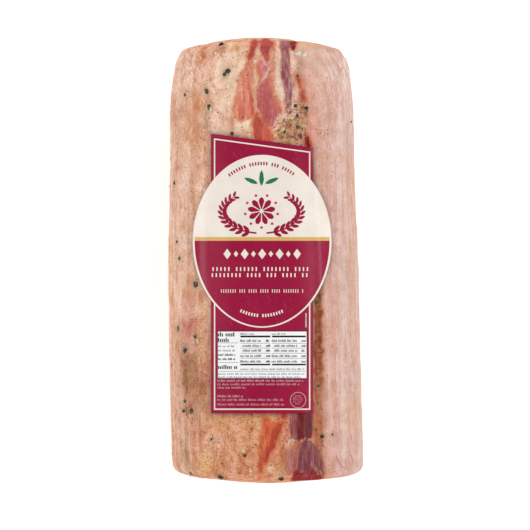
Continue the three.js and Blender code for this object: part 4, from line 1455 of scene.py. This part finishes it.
def strewSpice(name, found, sunk, count, first, detail, flat, rough, sharpFrom, seed, *finish):
    angle, y, radius = np.array(found).T
    draws = np.random.default_rng(seed)
    step = 0.4
    across, along = (
        placeAt(angle + turn, y + move, skinRadius(angle + turn, y + move))
        - placeAt(angle - turn, y - move, skinRadius(angle - turn, y - move))
        for turn, move in ((step / roll["halfHeight"], 0), (0, step))
    )
    spins = draws.uniform(0, 2 * math.pi, len(angle))
    tilts = draws.uniform(-0.5, 0.5, len(angle))
    sizes = radius[:, None] * draws.uniform(0.8, 1.15, (len(angle), 3))
    points = placeAt(angle, y, skinRadius(angle, y) + (-meat["inset"] - sunk * radius))
    shapes = [bitShape("%sShape%d" % (name, i), first + i, detail, flat, rough) for i in range(count)]
    turns = turnsOf(across, along, spins, tilts)
    strewnPiece(name, points, turns, sizes, shapes, spiceMaterial(*finish), sharpFrom)


film = {
    "columns": 280,
    "rows": (26, 9, 170),
    "valleyShare": 0.8,  # the film spans the seam's valley without touching its floor
    "ridge": 0.12,
    "ridgePitch": 5.5,
    "pleat": 0.3,
    "pleatsRound": 34,
}


def bridgedRadius(angle, y):
    return skinRadius(angle, y, film["valleyShare"])


# Lengthwise ridges on the flanks, pleats at both rims and a tent over each large corn.
def filmRelief(angle, y, cap):
    around = arcFrom(0, angle)
    flank = smooth(np.abs(np.sin(angle)), 0.5, 0.85) * (1 - cap)
    waver = ripple(y * 0.35, around * 0.2, 61, 40, 1.2)
    ridges = np.abs(np.sin((around + waver) * math.pi / film["ridgePitch"])) ** 6
    relief = film["ridge"] * ridges * flank * smooth(ripple(around, y * 0.12, 62, 12, 1), -0.3, 1.2)
    fromEnd = halfRoll - np.abs(y)
    reach = 13 + 6 * np.sin(3 * angle + np.sign(y)) + 4 * np.sin(7 * angle)
    pleats = np.abs(np.sin(film["pleatsRound"] / 2 * angle + 1.3 * np.sin(2 * angle + np.sign(y)))) ** 8
    faded = (1 - smooth(fromEnd, 0.35 * reach, reach)) * smooth(fromEnd, 3, 8)
    relief = relief + film["pleat"] * pleats * faded
    near = 0 * angle
    for cornAngle, cornY, radius in cornPlaces + hullPlaces:
        if radius > 0.75:
            apart = np.hypot(arcFrom(cornAngle, angle), y - cornY)
            near = np.maximum(near, 0.5 * radius * hump(apart, 1.35 * radius))
    return relief + near * (1 - cap)


def filmMaterial():
    material, tree = newMaterial("clearFilm")
    fine = noise(objectPlace(tree, 0.3), 2.2, 4, 0.6)
    height = fine + noise(objectPlace(tree, 0.04), 2.6, 3) * 1.4 + noise(objectPlace(tree), 0.9, 4, 0.6) * 0.5
    bump = bumped(height, 0.5, 0.0004)
    shine = bump.through("ShaderNodeFresnel", {"IOR": 1.42, "Normal": bump}) * 0.75
    gloss = {"Roughness": fine.ranged(0.3, 0.7, 0.08, 0.16), "Normal": bump}
    glossy, clear = bump.through("ShaderNodeBsdfGlossy", gloss), bump.through("ShaderNodeBsdfTransparent", {})
    shader = bump.through("ShaderNodeMixShader", {0: shine.maths("MINIMUM", 0.036), 1: clear, 2: glossy})
    addNode(tree, "ShaderNodeOutputMaterial", {"Surface": shader})
    return material


def makeFilm():
    angles = np.arange(film["columns"]) * 2 * math.pi / film["columns"]
    points, faces, _ = rollSkin(angles, rollRows(*film["rows"]), 0, film["valleyShare"], filmRelief)
    piece = pieceOf("rollFilm", meshOf("rollFilm", points, faces), filmMaterial())
    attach(piece, "root")
    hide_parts("pancetta")
    print("film:", len(points), "points")


# Fine pleats of the film as seen from above: shade (0 dark, 1 pale), half width and the places passed. Their
# colour is partly painted light: the pale ones are painted highlights, the dark ones in-folded fat with
# painted shade.
pleatLines = [
    (0, 0.3, [(39.7, -109.2), (41, -112.4), (42.4, -115.8)]),
    (0, 0.34, [(41.6, -112.8), (43, -115.2), (45, -117.4)]),
    (0, 0.26, [(44.5, -112.6), (45.4, -115.4), (46.2, -118)]),
    (0, 0.36, [(46.8, -106.2), (48, -109.4), (49.3, -112.6)]),
    (0, 0.24, [(48.1, -110), (49, -112.4), (49.9, -114.6)]),
    (0, 0.3, [(37, -113), (38.2, -116.6), (39.8, -119.8)]),
    (0, 0.24, [(34.7, -115.8), (36.2, -118.6), (37.8, -120.6)]),
    (0, 0.34, [(25.4, -114), (28, -117.4), (31.6, -121.2)]), (0, 0.22, [(41.8, -115), (43.9, -120.4)]),
    (1, 0.2, [(40.6, -109), (43.4, -116)]), (1, 0.2, [(26.4, -113.6), (32, -120)]),
    (0, 0.2, [(-34.5, 92.3), (-31, 86.8), (-25.6, 80.8)]),
    (0, 0.16, [(-33.2, 92.4), (-27, 84), (-22.6, 79)]),
    (1, 0.22, [(-33.9, 91.6), (-27.4, 82.6), (-20.4, 76.6)]), (1, 0.16, [(-35.6, 90), (-30.4, 83.4)]),
    (0, 0.16, [(-47.4, 117.4), (-43.4, 111.4), (-40, 107)]), (0, 0.16, [(-44.2, 119), (-41, 113.8)]),
    (1, 0.18, [(-46, 118), (-42.4, 112.6), (-38.6, 108.4)]), (1, 0.16, [(-42.4, 119.2), (-37.4, 113)]),
    (1, 0.16, [(43, 116), (46.2, 108), (48, 100)]), (1, 0.16, [(40.6, 116.6), (44, 109)]),
    (1, 0.14, [(35, 112), (40.4, 103)]), (0, 0.14, [(44.4, 114), (47.4, 105)]),
    (0, 0.14, [(37.4, 114.4), (42.4, 105.4)]), (1, 0.14, [(37, 106), (41, 99)]),
    (1, 0.16, [(36.4, 70), (36.9, 20)]), (1, 0.2, [(39.7, 74), (39.9, 40), (40, 10)]),
    (1, 0.14, [(43.6, 66), (44, 16)]), (1, 0.2, [(39.7, -34), (39.9, -70), (40.2, -104)]),
    (1, 0.22, [(45, -36), (45.4, -70), (45.6, -98)]), (0, 0.24, [(47, -92), (47.8, -99), (49.6, -106)]),
    (1, 0.14, [(34.6, -20), (35.2, -84)]), (1, 0.16, [(-46.6, 30), (-47, 0), (-46.9, -34)]),
    (1, 0.14, [(-43.6, 44), (-43.9, 6)]), (1, 0.14, [(-49.6, 96), (-50.2, 40)]),
    (0, 0.18, [(-46.8, -38), (-47.1, -60), (-46.9, -80)]), (1, 0.14, [(-48.6, -86), (-48, -112)]),
    (1, 0.16, [(-51.8, 62), (-52.6, 4)]), (0, 0.16, [(-45.4, -92), (-44.6, -112)]),
    (1, 0.16, [(-50.6, -30), (-51, -84)]),
]
# Painted glints: white specks that stand for the lamps' highlights on crumpled film: how many, the seen place
# and how far round it.
paintedGlints = [(14, (18.4, 115.4), (1.6, 1.2)), (12, (22.2, 115), (1.2, 1.4)), (5, (-27, 114.6), (1.6, 2.6)),
          (4, (-23, 86), (3, 2))]
hiddenPleats = {
    "count": 60,
    "angles": (84, 276),
    "long": (5, 17),
    "fromEnd": (2, 5),
    "slant": 0.1,
    "halfWidth": (0.14, 0.34),
}


# Middle lines of the pleats as points, with their shades and half widths.
def pleatPaths():
    paths = []
    for shade, halfWidth, places in pleatLines:
        passed = np.array(places).T
        reach = np.r_[0, np.cumsum(np.hypot(*np.diff(passed)))]
        along = np.linspace(0, reach[-1], max(5, int(reach[-1] / 2.5)))
        p, q = (np.interp(along, reach, line) for line in passed)
        p = p + ripple(p * 0, q, 71, 12, 0.12)
        paths.append((shade, halfWidth, pointSeenAt(p, q, bridgedRadius, 0.1)))
    draws = np.random.default_rng(33)
    for count, middle, spread in paintedGlints:
        for _ in range(count):
            start = np.array(middle) + draws.normal(0, 0.5, 2) * spread
            heading = draws.uniform(0, math.pi)
            run = draws.uniform(0.4, 1.5) * np.linspace(0, 1, 4)
            p, q = start[0] + run * math.cos(heading), start[1] + run * math.sin(heading)
            paths.append((2, draws.uniform(0.16, 0.4), pointSeenAt(p, q, bridgedRadius, 0.15)))
    for number in range(hiddenPleats["count"]):
        side = 1 if number % 2 else -1
        angle, length = draws.uniform(*hiddenPleats["angles"]) * degree, draws.uniform(*hiddenPleats["long"])
        y = side * (halfRoll - 8 - draws.uniform(*hiddenPleats["fromEnd"]) - np.linspace(0, length, 7))
        angles = angle + draws.uniform(-1, 1) * hiddenPleats["slant"] * np.linspace(0, 1, 7)
        points = placeAt(angles, y, bridgedRadius(angles, y) + 0.1)
        if points[:, 2].min() > 2:
            paths.append((draws.uniform(), draws.uniform(*hiddenPleats["halfWidth"]), points))
    return paths


# Turns the middle lines into slender tubes of their own half widths.
def pleatTree(material):
    tree, given = beginTree("filmPleats", {"Lines": "Geometry", "Sides": "Int"}, "Pleats")
    curves = addNode(tree, "GeometryNodeMeshToCurve", {"Mesh": given["Lines"]}).outputs[0]
    width = named(tree, "halfWidth", "FLOAT")
    sized = addNode(tree, "GeometryNodeSetCurveRadius", {"Curve": curves, "Radius": width}).outputs[0]
    inputs = {"Resolution": given["Sides"], "Radius": 1.0}
    circle = addNode(tree, "GeometryNodeCurvePrimitiveCircle", inputs).outputs[0]
    inputs = {"Curve": sized, "Profile Curve": circle, "Fill Caps": True}
    tubes = addNode(tree, "GeometryNodeCurveToMesh", inputs)
    if "Scale" in tubes.inputs:
        tree.links.new(width, tubes.inputs["Scale"])
    return endTree(tree, tubes.outputs[0], material)


# The pleats' colour paints light: dark in-folded fat with painted shade, pale painted highlights, and white
# painted glints.
def pleatMaterial():
    material, tree = newMaterial("foldedFilm")
    shade = fieldOf(tree, "shade")
    broken = noise(objectPlace(tree), 3, 3)
    colour = shade.between(tone(230, 158, 138), tone(250, 232, 220))
    colour = colour.tinted(broken.ranged(0.35, 0.65), (0.85, 0.82, 0.8), (1.05, 1.05, 1.05))
    isGlint = shade.ranged(1, 2)
    colour = isGlint.between(colour, (1, 1, 1, 1))
    alpha = broken.ranged(0.36, 0.6, 0.1, 0.5).maths("MAXIMUM", isGlint * 0.9)
    return finished(material, colour, broken.ranged(0.3, 0.7, 0.2, 0.4), {"Alpha": alpha})


def makePleats():
    points, edges, widths, shades = [], [], [], []
    for shade, halfWidth, path in pleatPaths():
        start = len(points)
        points += path.tolist()
        edges += [(start + i, start + i + 1) for i in range(len(path) - 1)]
        widths += (halfWidth * mm * np.sqrt(np.sin(np.linspace(0.08, math.pi - 0.08, len(path))))).tolist()
        shades += [shade] * len(path)
    mesh = bpy.data.meshes.new("pleatLines")
    mesh.from_pydata((np.array(points) * mm).tolist(), edges, [])
    writeField(mesh, "halfWidth", widths)
    writeField(mesh, "shade", shades)
    holder = pieceOf("pleatLines", mesh, None)
    mesh = treeResult("filmPleats", holder, pleatTree(pleatMaterial()), {"Sides": 6})
    piece = pieceOf("filmPleats", mesh, None)
    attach(piece, "root")
    print("film pleats:", len(mesh.polygons), "faces")


makeCamera()
makeStudio()
makeFloor()
print("camera, light and floor ready")
makeMeat()
for name, kind in spices.items():
    strewSpice(name, *kind)
makeFilm()
makePleats()
makeLabel()
